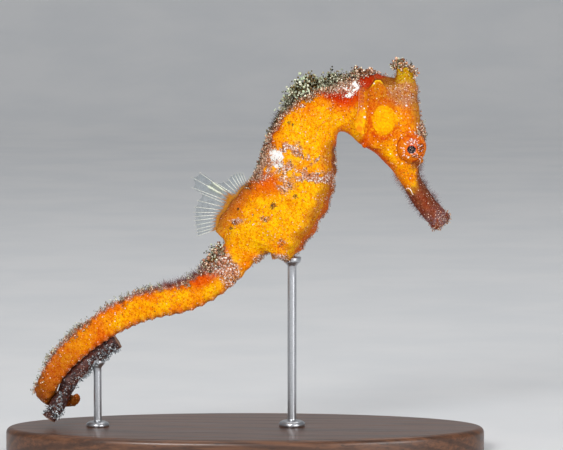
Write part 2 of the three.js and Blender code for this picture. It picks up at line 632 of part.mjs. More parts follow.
addPiece("snout", snoutShape(), "snout");
addPiece("head", headShape(), "skin");
addPiece("coronet", coronetShape(), "crown");
addPiece("eye_right", eyeball(-1), "eye");
addPiece("eye_left", eyeball(1), "eye");
addPiece("shoulder_ring", shoulderShape(), "skin");
for (const name of ["trunk_upper", "trunk_middle", "trunk_lower"]) {
  const [from, to] = CUTS[name];
  addPiece(name, bodyStretch(from + GAP / 2, to - GAP / 2), "skin");
}
TAIL_PIECES.forEach((name, i) => {
  const ringAt = (share) => placeOfRing(TRUNK_RINGS.count + Math.round(share * TAIL_RINGS.count));
  const [from, to] = [i, i + 1].map((k) => ringAt(k / (TAIL_PIECES.length + 1)));
  addPiece("tail_" + name, bodyStretch(from + GAP / 2, to - GAP / 2), "skin");
  if (i === TAIL_PIECES.length - 1) addPiece("tail_tip", tailTipShape(to + GAP / 2), "skin");
});
addPiece("dorsal_fin", dorsalFinShape(), "fin");
addPiece("pectoral_fin_right", pectoralFinShape(-1), "fin");
addPiece("pectoral_fin_left", pectoralFinShape(1), "fin");
addPiece("anal_fin", analFinShape(), "fin");
addPiece("perch_stem", stemShape(), "stem");
addPiece("stand_base", baseShape(), "wood");
addPiece("stand_rod_body", rodShape(BODY_ROD, bodyStretch(...CUTS.trunk_lower, GAP)), "steel");
addPiece("stand_rod_perch", rodShape(STEM_ROD, stemShape(GAP)), "steel");

export default seahorse;
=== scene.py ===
"""A life-size seahorse on a plain display stand.

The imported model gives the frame. Shapes are worked out in millimetres, with the same axis and sections as the
solids, and become metres when a mesh is made. The animal faces +X and its right side is towards -Y.
"""

import math

import bmesh
import bpy
import numpy as np
from mathutils import Matrix, Vector
from mathutils.bvhtree import BVHTree


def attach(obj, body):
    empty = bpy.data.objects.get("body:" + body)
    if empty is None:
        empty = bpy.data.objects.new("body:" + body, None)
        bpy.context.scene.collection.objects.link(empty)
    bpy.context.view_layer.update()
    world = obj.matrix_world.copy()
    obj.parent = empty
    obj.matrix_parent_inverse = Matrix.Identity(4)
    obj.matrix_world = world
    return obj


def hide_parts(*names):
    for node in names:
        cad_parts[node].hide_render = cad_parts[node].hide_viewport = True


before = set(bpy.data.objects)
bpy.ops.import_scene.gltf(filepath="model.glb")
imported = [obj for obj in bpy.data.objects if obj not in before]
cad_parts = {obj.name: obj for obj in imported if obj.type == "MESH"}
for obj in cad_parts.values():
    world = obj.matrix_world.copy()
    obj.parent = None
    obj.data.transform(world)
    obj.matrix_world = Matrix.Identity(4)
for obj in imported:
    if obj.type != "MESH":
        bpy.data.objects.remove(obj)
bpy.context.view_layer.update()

# ---- The axis and the sections of the body, as in the solids ----

MM = 0.001
GAP = 0.3
MOUTH = (39.4, 46.1, 131.7)  # x, z and heading in degrees
ARCS = [  # length and turn in degrees: snout, face, cheek, neck, chest, belly, hip and the tail's four arcs
    (10.0, -11.1), (7.1, -18.5), (13.3, 63.0), (17.2, 91.9), (9.3, -5.1), (5.7, -16.5),
    (10.4, 1.8), (16.9, -47.5), (14.7, 26.1), (6.7, 5.5), (15.0, 39.4),
]
ARC_BLEND = 1.5  # the turns of neighbouring arcs flow together over this length each way
AXIS_STEP = 0.1
LENGTH = 133.0
STATIONS = np.array(
    [  # place along the axis, reach to the back, reach to the belly, half the width, squareness
        (0.0, 2.25, 2.25, 1.9, 2.2), (5.0, 1.85, 2.25, 1.75, 2.1), (10.5, 2.05, 2.15, 1.95, 2.1),
        (14.0, 3.8, 2.85, 3.1, 2.2), (16.5, 5.0, 4.3, 3.7, 2.3), (20.0, 5.8, 6.0, 4.2, 2.4),
        (24.5, 8.5, 6.9, 4.5, 2.3), (28.5, 7.0, 6.55, 4.2, 2.2), (30.5, 5.9, 6.2, 4.1, 2.2),
        (34.0, 3.6, 5.9, 3.9, 2.3), (38.5, 3.15, 8.3, 4.5, 2.3), (46.0, 3.9, 9.1, 5.1, 2.4),
        (55.5, 4.75, 10.6, 5.8, 2.4), (63.5, 5.1, 9.75, 5.7, 2.4), (67.6, 4.95, 9.3, 4.9, 2.5),
        (68.4, 4.85, 4.95, 4.4, 2.6), (70.0, 4.2, 4.5, 3.8, 2.8), (73.0, 3.15, 3.5, 3.3, 3.0),
        (84.0, 2.8, 2.9, 2.9, 3.0), (98.0, 3.05, 2.6, 2.7, 3.0), (114.0, 2.5, 2.4, 2.3, 3.0),
        (121.0, 2.1, 1.85, 1.95, 2.8), (128.5, 1.25, 1.15, 1.2, 2.4), (133.0, 0.45, 0.45, 0.45, 2.0),
    ]
)
TRUNK_RINGS = (31.5, 69.6, 11)  # from, to and count
TAIL_RINGS = (69.6, 133.0, 35)
TAIL_FIRST_PITCH = 2.3
TRUNK_RIDGES = (30, 92, 138, 180)
TAIL_RIDGES = (45, 135)
RIDGE_WIDTH = 11
RIDGE_HEIGHT = 0.3
RING_HEIGHT = 0.22
FIN_BASE = (57.5, 70.9, 0.9, 2.3, 11)  # from, to, height at the start and at the end, spread in degrees
STEM = {"radius": 1.25, "lean": 57, "below": 6.9, "above": 16.0, "swell": 0.1}  # reaches are from the grip
GRIP = {"start": 118.8, "turn_length": 7.2, "turn": 119, "slack": 0.15}  # how the tail winds round the stem
TURN_BLEND = 3  # the tail's back swings to face away from the stem over this length
SETTLING = 6  # samples each way that the axis is averaged over


def smooth_through(xs, ys):
    """A smooth curve through the points, which never overshoots them."""
    slopes = np.diff(ys) / np.diff(xs)
    before = np.concatenate([slopes[:1], slopes])
    after = np.concatenate([slopes, slopes[-1:]])
    steady = before * after > 0
    tangents = np.where(steady, 2 * before * after / np.where(steady, before + after, 1), 0)

    def curve(x):
        at = np.clip(x, xs[0], xs[-1])
        i = np.clip(np.searchsorted(xs, at) - 1, 0, len(xs) - 2)
        width = xs[i + 1] - xs[i]
        t = (at - xs[i]) / width
        leaving = t * (1 - t) ** 2 * width * tangents[i]
        arriving = t * t * (t - 1) * width * tangents[i + 1]
        return ys[i] + t * t * (3 - 2 * t) * (ys[i + 1] - ys[i]) + leaving + arriving

    return curve


PLACES = STATIONS[:, 0]
back_reach, belly_reach, half_width, squareness = (smooth_through(PLACES, sizes) for sizes in STATIONS.T[1:])
arc_ends = np.concatenate([[0], np.cumsum([length for length, _ in ARCS])])
arc_headings = np.concatenate([[MOUTH[2]], MOUTH[2] + np.cumsum([turn for _, turn in ARCS])])


def bell(x, width):
    return np.exp(-((x / width) ** 2))


def ramp(x, low, high):
    """0 below low, 1 above high, and smooth between them. It falls where high is below low."""
    t = np.clip((x - low) / (high - low), 0, 1)
    return t * t * (3 - 2 * t)


def window(x, low, high, soft):
    return ramp(x, low - soft, low + soft) * ramp(x, high + soft, high - soft)


def unit(v):
    return v / np.linalg.norm(v, axis=-1, keepdims=True)


def heading_at(s):
    spots = [np.interp(s + share * ARC_BLEND, arc_ends, arc_headings) for share in (-1, -0.5, 0, 0.5, 1)]
    return np.radians(sum(spots) / len(spots))


def rising(angle):
    """The way in the animal's middle plane at an angle from +X up to +Z, in radians."""
    return np.array([math.cos(angle), 0, math.sin(angle)])


def turned_left(way):
    """A way in the middle plane turned by a right angle, from +X towards +Z."""
    return np.array([-way[2], 0, way[0]])


ACROSS = np.array([0.0, 1.0, 0.0])
stem_up = rising(math.radians(STEM["lean"]))
stem_side = turned_left(stem_up)


def grip_radius(s):
    return STEM["radius"] * (1 + STEM["swell"]) + GAP + belly_reach(s) + GRIP["slack"]


def make_axis():
    """Samples of the axis: places, ways along, ways to the back, and where on the stem the turn starts."""
    places, backs = [np.array([MOUTH[0], 0.0, MOUTH[1]])], []
    middle, down, around = None, 0.0, 0.0
    for i in range(round(LENGTH / AXIS_STEP) + 1):
        s, here = i * AXIS_STEP, places[i]
        if s < GRIP["start"]:
            heading = heading_at(s + AXIS_STEP / 2)
            along = rising(heading)
            backs.append(-turned_left(along))
            places.append(here + along * AXIS_STEP)
            continue
        if middle is None:
            middle = here - stem_side * grip_radius(s)
        pitch = math.radians(GRIP["turn"] * min(1, (s - GRIP["start"]) / GRIP["turn_length"]))
        down += math.cos(pitch) * AXIS_STEP
        around += math.sin(pitch) * AXIS_STEP / grip_radius(s)
        out = stem_side * math.cos(around) + ACROSS * math.sin(around)
        ease = max(float(ramp(s, GRIP["start"], GRIP["start"] + TURN_BLEND)), 0.02)
        backs.append(unit(backs[-1] * (1 - ease) + out * ease))
        places.append(middle - stem_up * down + out * grip_radius(s + AXIS_STEP))
    places, backs = np.array(places), np.array(backs)
    count = len(backs)

    def settled(rows):
        reach = [min(SETTLING, i, count - 1 - i) for i in range(count)]
        return np.array([rows[i - r : i + r + 1].mean(axis=0) for i, r in enumerate(reach)])

    at = settled(places)
    along = unit(np.concatenate([at[1:2] - at[:1], at[2:] - at[:-2], at[-1:] - at[-2:-1]]))
    back = settled(backs)
    back = unit(back - along * np.sum(back * along, axis=1, keepdims=True))
    return at, along, back, middle


axis_at, axis_along, axis_back, stem_foot = make_axis()
axis_side = np.cross(axis_along, axis_back)


def frame_at(s):
    """The place on the axis, and the ways along, to the back and to the side."""
    i = np.clip(np.asarray(s, float) / AXIS_STEP, 0, len(axis_at) - 1)
    low = np.floor(i).astype(int)
    high = np.minimum(low + 1, len(axis_at) - 1)
    t = (i - low)[..., None]
    samples = (axis_at, axis_along, axis_back, axis_side)
    at, along, back, side = (rows[low] * (1 - t) + rows[high] * t for rows in samples)
    return at + along * np.minimum(0, s)[..., None], along, back, side


def rings_before(s):
    """How many bony rings lie before a place: whole numbers fall in the grooves between rings."""
    first, last, count = TRUNK_RINGS
    trunk = (s - first) / (last - first) * count
    start, end, more = TAIL_RINGS
    t = (s - start) / (end - start)
    early = (end - start) / TAIL_FIRST_PITCH
    return np.where(s <= last, trunk, count + early * t + (more - early) * t * t)


def ring_crest(s):
    return 0.5 - 0.5 * np.cos(2 * np.pi * rings_before(s))


def tail_share(s):
    return ramp(s, TRUNK_RINGS[1] - 2, TRUNK_RINGS[1] + 4)


def ridge_share(s):
    return ramp(s, TRUNK_RINGS[0] - 1, TRUNK_RINGS[0] + 4)


def folded(angle):
    """An angle round the axis as 0 at the back to 180 at the belly, on either side."""
    return 180 - np.abs(180 - np.mod(angle, 360))


def open_share(s, angle):
    """1 in the open, 0 on the inside of the neck's bend, where the rings crowd together and fade out."""
    bend = np.where(s < TRUNK_RINGS[1], heading_at(s + 1) - heading_at(s - 1), 0)
    inside = bend / 2 * (belly_reach(s) + 1) * np.maximum(0, -np.cos(np.radians(angle)))
    return 1 - np.clip(inside * 1.3, 0, 1)


def ridges(s, angle, width):
    a = folded(angle)
    trunk = sum(bell(a - ridge, width) for ridge in TRUNK_RIDGES)
    tail = sum(bell(a - ridge, width * 1.3) for ridge in TAIL_RIDGES)
    return (trunk + (tail - trunk) * tail_share(s)) * ridge_share(s)


def relief(s, angle):
    """How far the ridges, rings and fin base stand out beyond the plain section."""
    crest = ring_crest(s) * ridge_share(s)
    fade = (1 - 0.65 * ramp(s, 100, LENGTH)) * open_share(s, angle)
    first, last, low, high, spread = FIN_BASE
    ends = ramp(s, first - 1.5, first + 1) * (1 - ramp(s, last, last + 0.7))
    fin = (low + (high - low) * (s - first) / (last - first)) * bell(folded(angle), spread) * ends
    ridge = RIDGE_HEIGHT * ridges(s, angle, RIDGE_WIDTH) * (0.4 + 0.6 * crest)
    return (ridge + RING_HEIGHT * crest) * fade + fin


def surface(s, angle, grow=0.0, shrink=1.0):
    """Points of the body's surface. The angle is 0 at the back, 90 on the left and 180 at the belly."""
    s, angle = np.broadcast_arrays(np.asarray(s, float), np.asarray(angle, float))
    at, _, back, side = frame_at(s)
    top, bottom, half, power = back_reach(s), belly_reach(s), half_width(s), squareness(s)
    c, d = np.cos(np.radians(angle)), np.sin(np.radians(angle))
    reach = (np.abs(2 * c / (top + bottom)) ** power + np.abs(d / half) ** power) ** (-1 / power)
    out = (reach + relief(s, angle) + grow) * shrink
    return at + back * ((top - bottom) / 2 + out * c)[..., None] + side * (out * d)[..., None]


LATTICE = 8192  # random values that the corners of the cells in lumps choose from
SCRAMBLE = (73856093, 19349663, 83492791)  # large primes that mix a corner's three numbers


def lumps(points, size, seed):
    """Smooth random values from -1 to 1, which vary over about that many millimetres."""
    values = np.random.default_rng(seed).uniform(-1, 1, LATTICE)
    place = points / size
    cell = np.floor(place).astype(np.int64)
    t = place - cell
    t = t * t * (3 - 2 * t)
    total = np.zeros(len(points))
    for corner in np.ndindex(2, 2, 2):
        x, y, z = ((cell + np.array(corner)) * np.array(SCRAMBLE)).T
        weight = np.prod(np.where(corner, t, 1 - t), axis=1)
        total += weight * values[(x ^ y ^ z) % LATTICE]
    return total


# ---- Meshes ----


def loft(rings):
    """Quads through rings of points that all have the same count, closed at both ends with a fan."""
    rings = np.asarray(rings)
    rows, sides = rings.shape[:2]
    points = np.concatenate([rings.reshape(-1, 3), rings[:1].mean(axis=1), rings[-1:].mean(axis=1)])
    i, j = np.meshgrid(np.arange(rows - 1), np.arange(sides), indexing="ij")
    a, b = i * sides + j, i * sides + (j + 1) % sides
    faces = np.stack([a, a + sides, b + sides, b], axis=-1).reshape(-1, 4).tolist()
    last, start = rows * sides, (rows - 1) * sides
    for k in range(sides):
        after = (k + 1) % sides
        faces.append([last, k, after])
        faces.append([last + 1, start + after, start + k])
    return points, faces


def ball(middle, half, turn=0.0, rows=28, sides=40):
    """An ellipsoid with those half sizes along X, Y and Z, turned about Y by an angle from +X to +Z."""
    rise = np.radians(np.linspace(-88, 88, rows))[:, None]
    around = np.radians(np.arange(sides) * 360 / sides)[None]
    x, y = np.cos(rise) * np.cos(around) * half[0], np.cos(rise) * np.sin(around) * half[1]
    z = np.sin(rise) * half[2]
    c, d = math.cos(math.radians(turn)), math.sin(math.radians(turn))
    return loft(np.stack([x * c - z * d, y + 0 * x, x * d + z * c], axis=-1) + np.array(middle))


def all_round(count):
    """That many angles evenly round a full turn, in radians."""
    return np.arange(count) * 2 * np.pi / count


def flat_ring(x, half_long, half_wide, z, sides):
    """A level oval ring of points whose middle is at that x."""
    turn = all_round(sides)
    return np.stack([x + half_long * np.cos(turn), half_wide * np.sin(turn), 0 * turn + z], axis=1)


def joined(shapes):
    """Several (points, faces) shapes as one."""
    points, faces, count = [], [], 0
    for some_points, some_faces in shapes:
        points.append(some_points)
        faces.extend([[k + count for k in face] for face in some_faces])
        count += len(some_points)
    return np.concatenate(points), faces


def make_mesh(name, points, faces, scale=MM):
    made = bpy.data.meshes.new(name)
    made.from_pydata((np.asarray(points) * scale).tolist(), [], faces)
    made.update()
    made.shade_smooth()
    return made


def face_outwards(mesh):
    """Turns the faces of closed shells outwards."""
    work = bmesh.new()
    work.from_mesh(mesh)
    bmesh.ops.recalc_face_normals(work, faces=work.faces)
    work.to_mesh(mesh)
    work.free()


def put(name, mesh):
    """An object at the origin that shows the mesh."""
    made = bpy.data.objects.new(name, mesh)
    bpy.context.scene.collection.objects.link(made)
    return made


def result_of(obj):
    """The object's mesh as its modifiers leave it, and the modifiers removed."""
    graph = bpy.context.evaluated_depsgraph_get()
    final = obj.evaluated_get(graph)
    made = bpy.data.meshes.new_from_object(final, preserve_all_data_layers=True, depsgraph=graph)
    obj.modifiers.clear()
    return made


def triples(items, field):
    """A field of three numbers of every item, as rows."""
    values = np.empty(len(items) * 3)
    items.foreach_get(field, values)
    return values.reshape(-1, 3)


def places_of(mesh):
    return triples(mesh.vertices, "co")


def ways_of(mesh):
    return triples(mesh.vertex_normals, "vector")


def move_points(mesh, points):
    mesh.vertices.foreach_set("co", np.asarray(points, dtype=np.float32).ravel())
    mesh.update()


def note(mesh, name, values, kind="FLOAT"):
    """Keeps values for every point of the mesh under a name: FLOAT, FLOAT_VECTOR or FLOAT_COLOR."""
    values = np.asarray(values, dtype=np.float32)
    if kind == "FLOAT_COLOR":
        values = np.concatenate([values, np.ones((len(values), 1), dtype=np.float32)], axis=1)
    field = {"FLOAT": "value", "FLOAT_VECTOR": "vector", "FLOAT_COLOR": "color"}[kind]
    layer = mesh.attributes.get(name) or mesh.attributes.new(name, kind, "POINT")
    layer.data.foreach_set(field, values.ravel())


def paint(red, green, blue):
    """A colour as it is usually given, 0 to 255, as the renderer counts it."""
    share = np.array([red, green, blue]) / 255
    return np.where(share <= 0.04045, share / 12.92, ((share + 0.055) / 1.055) ** 2.4)


def finish_piece(name, mesh, slot, *nodes):
    """Shows a mesh as a piece of the model, with what every piece needs."""
    piece = put(name, mesh)
    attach(piece, "root")
    if nodes:
        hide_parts(*nodes)


def show(name, shape, finish, slot, *nodes):
    """A (points, faces) shape as a piece of one material, its faces turned outwards."""
    mesh = make_mesh(name, *shape)
    face_outwards(mesh)
    mesh.materials.append(finish)
    finish_piece(name, mesh, slot, *nodes)


# ---- Node trees ----


class Wire:
    """The output of a node. Arithmetic on it adds Math nodes."""

    def __init__(self, nodes, socket):
        self.nodes, self.socket = nodes, socket

    def of(self, name):
        """Another output of the same node."""
        return Wire(self.nodes, pick(self.socket.node.outputs, name))

    def math(self, operation, *others):
        values = dict(enumerate((self, *others)))
        return self.nodes.node("ShaderNodeMath", {"operation": operation}, values)

    def __add__(self, other):
        return self.math("ADD", other)

    def __sub__(self, other):
        return self.math("SUBTRACT", other)

    def __rsub__(self, other):
        return self.nodes.node("ShaderNodeMath", {"operation": "SUBTRACT"}, {0: other, 1: self})

    def __mul__(self, other):
        return self.math("MULTIPLY", other)

    def __truediv__(self, other):
        return self.math("DIVIDE", other)

    def __rtruediv__(self, other):
        return self.nodes.node("ShaderNodeMath", {"operation": "DIVIDE"}, {0: other, 1: self})

    def __pow__(self, other):
        return self.math("POWER", other)

    __radd__ = __add__
    __rmul__ = __mul__

    def highest(self, other):
        return self.math("MAXIMUM", other)

    def lowest(self, other):
        return self.math("MINIMUM", other)

    def ramp(self, low, high, start=0.0, end=1.0):
        """Goes smoothly from start at low to end at high."""
        values = {"Value": self, "From Min": low, "From Max": high, "To Min": start, "To Max": end}
        return self.nodes.node("ShaderNodeMapRange", {"interpolation_type": "SMOOTHSTEP"}, values)

    def between(self, start=0.0, end=1.0):
        """Turns a noise, which mostly lies from 0.3 to 0.7, into values from start to end."""
        return self.ramp(0.3, 0.7, start, end)


def pick(sockets, key):
    """A socket by its index, or the one in use that has the name."""
    if isinstance(key, int):
        return sockets[key]
    return next(socket for socket in sockets if socket.name == key and socket.enabled)


class Nodes:
    """A node tree, whose nodes all come from one method."""

    def __init__(self, tree):
        self.tree = tree

    def node(self, kind, settings=None, inputs=None, output=0):
        """A new node by one of its outputs. Inputs take plain values or the outputs of other nodes."""
        made = self.tree.nodes.new(kind)
        for key, value in (settings or {}).items():
            if key == "stops":
                self.set_stops(made.color_ramp, value)
            else:
                setattr(made, key, value)
        for key, value in (inputs or {}).items():
            socket = pick(made.inputs, key)
            if isinstance(value, Wire):
                self.tree.links.new(value.socket, socket)
            else:
                socket.default_value = value
        return Wire(self, pick(made.outputs, output))

    def vector(self, operation, *values, **named):
        inputs = {**dict(enumerate(values)), **named}
        return self.node("ShaderNodeVectorMath", {"operation": operation}, inputs)

    def xyz(self, x, y, z):
        return self.node("ShaderNodeCombineXYZ", None, {0: x, 1: y, 2: z})

    @staticmethod
    def set_stops(ramp, stops):
        """Fills a colour ramp with (place, colour) pairs."""
        while len(ramp.elements) < len(stops):
            ramp.elements.new(0.5)
        for element, (place, colour) in zip(ramp.elements, stops):
            element.position = place
            element.color = (*colour, 1)


class Finish(Nodes):
    """A material, with the parts that most of them share."""

    def __init__(self, name, **constants):
        self.material = bpy.data.materials.new(name)
        self.material.use_nodes = True
        super().__init__(self.material.node_tree)
        self.shader = next(n for n in self.tree.nodes if n.type == "BSDF_PRINCIPLED")
        for key, value in constants.items():
            self.shader.inputs[key.replace("_", " ").title().replace("Ior", "IOR")].default_value = value
        place = self.node("ShaderNodeTexCoord", output="Object")
        self.here = self.vector("SCALE", place, Scale=1 / MM)  # in millimetres
        self.colour = None

    def noise(self, size, detail=3.0, roughness=0.5, stretch=None):
        """Smooth random values round 0.5, which vary over about that many millimetres."""
        place = self.here if stretch is None else self.vector("MULTIPLY", self.here, stretch)
        inputs = {"Vector": place, "Scale": 1 / size, "Detail": detail, "Roughness": roughness}
        return self.node("ShaderNodeTexNoise", None, inputs)

    def cells(self, size):
        """Random cells of about that many millimetres: how far the middle is, and a colour for each."""
        return self.node("ShaderNodeTexVoronoi", None, {"Vector": self.here, "Scale": 1 / size})

    def noted(self, name, output="Fac"):
        """What the mesh keeps under a name."""
        return self.node("ShaderNodeAttribute", {"attribute_name": name}, output=output)

    def parts(self, value):
        """The three numbers of a place or a colour."""
        split = self.node("ShaderNodeSeparateXYZ", None, {0: value})
        return split, split.of("Y"), split.of("Z")

    def mix(self, one, other, share, how="MIX"):
        """From one colour to the other as share goes from 0 to 1."""
        settings = {"data_type": "RGBA", "blend_type": how, "clamp_factor": True}
        inputs = {"Factor": share, "A": rgba(one), "B": rgba(other)}
        return self.node("ShaderNodeMix", settings, inputs, "Result")

    def lay(self, colour, share):
        """Lays a colour over the finish's own, as thickly as share says."""
        self.colour = self.mix(self.colour, colour, share)

    def tint(self, strength):
        """Makes the finish's colour darker or lighter by a number."""
        self.colour = self.vector("SCALE", self.colour, Scale=strength)

    def stops(self, value, stops):
        """Goes through the colours of (place, colour) pairs as value goes from 0 to 1."""
        return self.node("ShaderNodeValToRGB", {"stops": stops}, {0: value}, "Color")

    def bump(self, height, strength=0.5, depth=0.1):
        """Dents and rises, where a height of 1 is that many millimetres."""
        inputs = {"Height": height, "Strength": strength, "Distance": depth * MM}
        return self.node("ShaderNodeBump", None, inputs)

    def use(self, **links):
        """Links the colour and whatever else varies to the shader's own sockets."""
        for key, value in {"base_color": self.colour, **links}.items():
            self.tree.links.new(value.socket, self.shader.inputs[key.replace("_", " ").title()])
        return self.material


def rgba(colour):
    return colour if isinstance(colour, Wire) else (*colour, 1)


# ---- Colours of the animal ----

YELLOW = paint(247, 176, 0)
ORANGE = paint(234, 124, 0)
AMBER = paint(216, 94, 10)
RED = paint(176, 30, 2)
SCARLET = paint(214, 58, 0)
BROWN = paint(140, 80, 42)
CROWN_GREY = paint(176, 112, 50)
FOREHEAD = paint(192, 124, 44)
UMBER = paint(142, 82, 22)
DEEP = paint(208, 84, 2)
LILAC = paint(196, 138, 112)
MAROON = paint(124, 52, 40)
PINKISH = paint(214, 128, 84)
SLATE = paint(92, 74, 66)
LID = paint(224, 118, 8)
RUSSET = paint(156, 66, 36)
PINK_SPECK = paint(226, 150, 116)
OLIVE = paint(196, 154, 12)
PLUM = paint(98, 46, 42)
RUST = paint(150, 74, 24)

# ---- The skin's shape ----

SLANT = 0.0875  # the markings lie this much higher for each millimetre that they stand out from the middle
EYE = {"x": 32.95, "z": 61.35, "out": 3.05, "wide": 2.85, "deep": 2.0, "socket": 3.2}
PUPIL = {"x": 33.1, "z": 61.05}  # it looks a little forward and down
OPERCLE = {"x": 27.3, "z": 66.3, "long": 4.6, "high": 5.4, "out": 4.85, "turn": -20}
GILL_SLOPE = 0.15  # how far the front edge of the gill cover leans forward for each millimetre up
DISC = {"x": 27.6, "z": 66.5, "wide": 2.2, "high": 2.85}  # the round boss of the gill cover
LOBE = {"x": 26.5, "z": 74.5, "flat": 0.5, "slope": 1.4}  # the arch at its upper end
SPINES = [  # x, z, out, length, radius and lean of the spines over the brow, on the nose, cheek and nape
    (34.6, 64.0, 1.6, 0.8, 0.95, 45), (34.6, 58.2, 0.0, 1.0, 0.6, 20),
    (24.1, 62.1, 2.6, 0.75, 0.75, 235), (26.4, 74.9, 0.0, 0.8, 1.1, 80),
]
CORONET = {"x": 31.75, "z": 73.7, "height": 4.0, "lean": 88, "points": 5}
CORONET |= {"waist": 1.65, "top": 1.6, "tip": 1.75, "tilt": 0.3}
SIDE_FIN_FOOT = {"x": 23.9, "out": 4.05, "z": 69.8, "half": (0.8, 0.55, 2.9)}  # a low pad under the fin
HEAD_END = 31  # where the head's own forms and colours end along the axis
SECTION_SIDES = 96
SECTION_STEP = 0.25
SKIN_DEPTH = 0.08  # the bare skin lies this far inside the solids
COARSE = 0.2  # grain of the skin's mesh before it is thinned
SKIN_TRIANGLES = 190000


def coronet_shape():
    height, sides = CORONET["height"], CORONET["points"] * 14
    up = rising(math.radians(CORONET["lean"]))
    fore = -turned_left(up)
    turn = all_round(sides)
    peak = (0.5 + 0.5 * np.cos(CORONET["points"] * turn)) ** 2
    waist, top, tip = CORONET["waist"], CORONET["top"], CORONET["tip"]
    profile = [
        (-3.2, waist * 1.6, 0, 0),
        (-0.6, waist * 1.75, 0, 0),
        (height * 0.2, waist * 1.3, 0.1, 0),
        (height * 0.42, waist, 0.1, 0),
        (height * 0.65, waist, 0.3, 0),
        (height * 0.82, top, (tip - top) * 0.9, 0.2),
        (height * 0.84, top * 0.72, (tip - top) * 0.7, height * 0.08),
        (height * 0.8, top * 0.45, 0, 0),
    ]
    rings = []
    for rise, radius, star, crown in profile:
        r = radius + star * peak
        tilt = CORONET["tilt"] * ramp(rise, height * 0.4, height * 0.8)
        lift = rise + crown * peak - tilt * r * np.cos(turn)
        fore_way, across_way = (r * np.cos(turn))[:, None] * fore, (r * np.sin(turn))[:, None] * ACROSS
        rings.append(lift[:, None] * up + fore_way + across_way + np.array([CORONET["x"], 0, CORONET["z"]]))
    return loft(rings[::-1])


def body_grid():
    """Rings of points of the plain body, the place of each along the axis, and the angles of its points."""
    lips = [(-0.6, 0.35), (-0.48, 0.72), (-0.2, 0.92)]
    tip = [(LENGTH - 0.05, 0.7), (LENGTH, 0.3)]
    rows = [*lips, *[(s, 1.0) for s in np.arange(0.0, LENGTH - 0.2, SECTION_STEP)], *tip]
    angles = np.arange(SECTION_SIDES) * 360 / SECTION_SIDES
    rings = [surface(np.full(SECTION_SIDES, s), angles, -SKIN_DEPTH, shrink) for s, shrink in rows]
    return rings, np.array([s for s, _ in rows]), angles


class BodyMap:
    """Finds the place along the axis and the angle round it for points near the body."""

    def __init__(self):
        rings, self.rows, self.angles = body_grid()
        self.grid = np.asarray(rings)
        points, faces = loft(rings)
        self.quads = (len(rings) - 1) * len(self.angles)
        self.tree = BVHTree.FromPolygons(points.tolist(), faces)

    def find(self, points):
        sides = len(self.angles)
        face = np.array([min(self.tree.find_nearest(p)[2], self.quads - 1) for p in points.tolist()])
        i, j = face // sides, face % sides
        here, on, beside = self.grid[i, j], self.grid[i + 1, j], self.grid[i, (j + 1) % sides]

        def share(way):
            along = np.sum((points - here) * way, axis=1)
            return np.clip(along / np.maximum(np.sum(way * way, axis=1), 1e-9), 0, 1)

        s = self.rows[i] + share(on - here) * (self.rows[i + 1] - self.rows[i])
        return s, self.angles[j] + share(beside - here) * 360 / sides


body_map = BodyMap()


def rough_body():
    """The body, the lumps of its head and its coronet as one closed shell."""
    shapes = [loft(body_grid()[0]), coronet_shape()]
    for side in (-1, 1):
        socket, out = EYE["socket"], EYE["out"] - 0.15
        shapes.append(ball((EYE["x"], side * out, EYE["z"]), (socket, 1.45, socket)))
        place = (OPERCLE["x"], side * (OPERCLE["out"] - 1.6), OPERCLE["z"])
        shapes.append(ball(place, (OPERCLE["long"], 1.55, OPERCLE["high"]), OPERCLE["turn"]))
        place = (SIDE_FIN_FOOT["x"], side * SIDE_FIN_FOOT["out"], SIDE_FIN_FOOT["z"])
        shapes.append(ball(place, SIDE_FIN_FOOT["half"]))
        for x, z, out, length, radius, turn in SPINES:
            shapes.append(ball((x, side * out, z), (length + 0.25, radius, radius * 0.9), turn, 14, 20))
    mesh = make_mesh("skin_rough", *joined(shapes), scale=1.0)
    obj = put("skin_rough", mesh)
    remesh = obj.modifiers.new("even", "REMESH")
    remesh.mode, remesh.voxel_size, remesh.use_smooth_shade = "VOXEL", COARSE, True
    smooth = obj.modifiers.new("soft", "SMOOTH")
    smooth.factor, smooth.iterations = 0.5, 3
    made = result_of(obj)
    bpy.data.objects.remove(obj)
    return made


def lobe_depth(x, z):
    """How far a place lies inside the upper outline of the gill cover's lobe."""
    below = LOBE["z"] - z
    return np.minimum(below, (below - LOBE["slope"] * (np.abs(x - LOBE["x"]) - LOBE["flat"])) * 0.58)


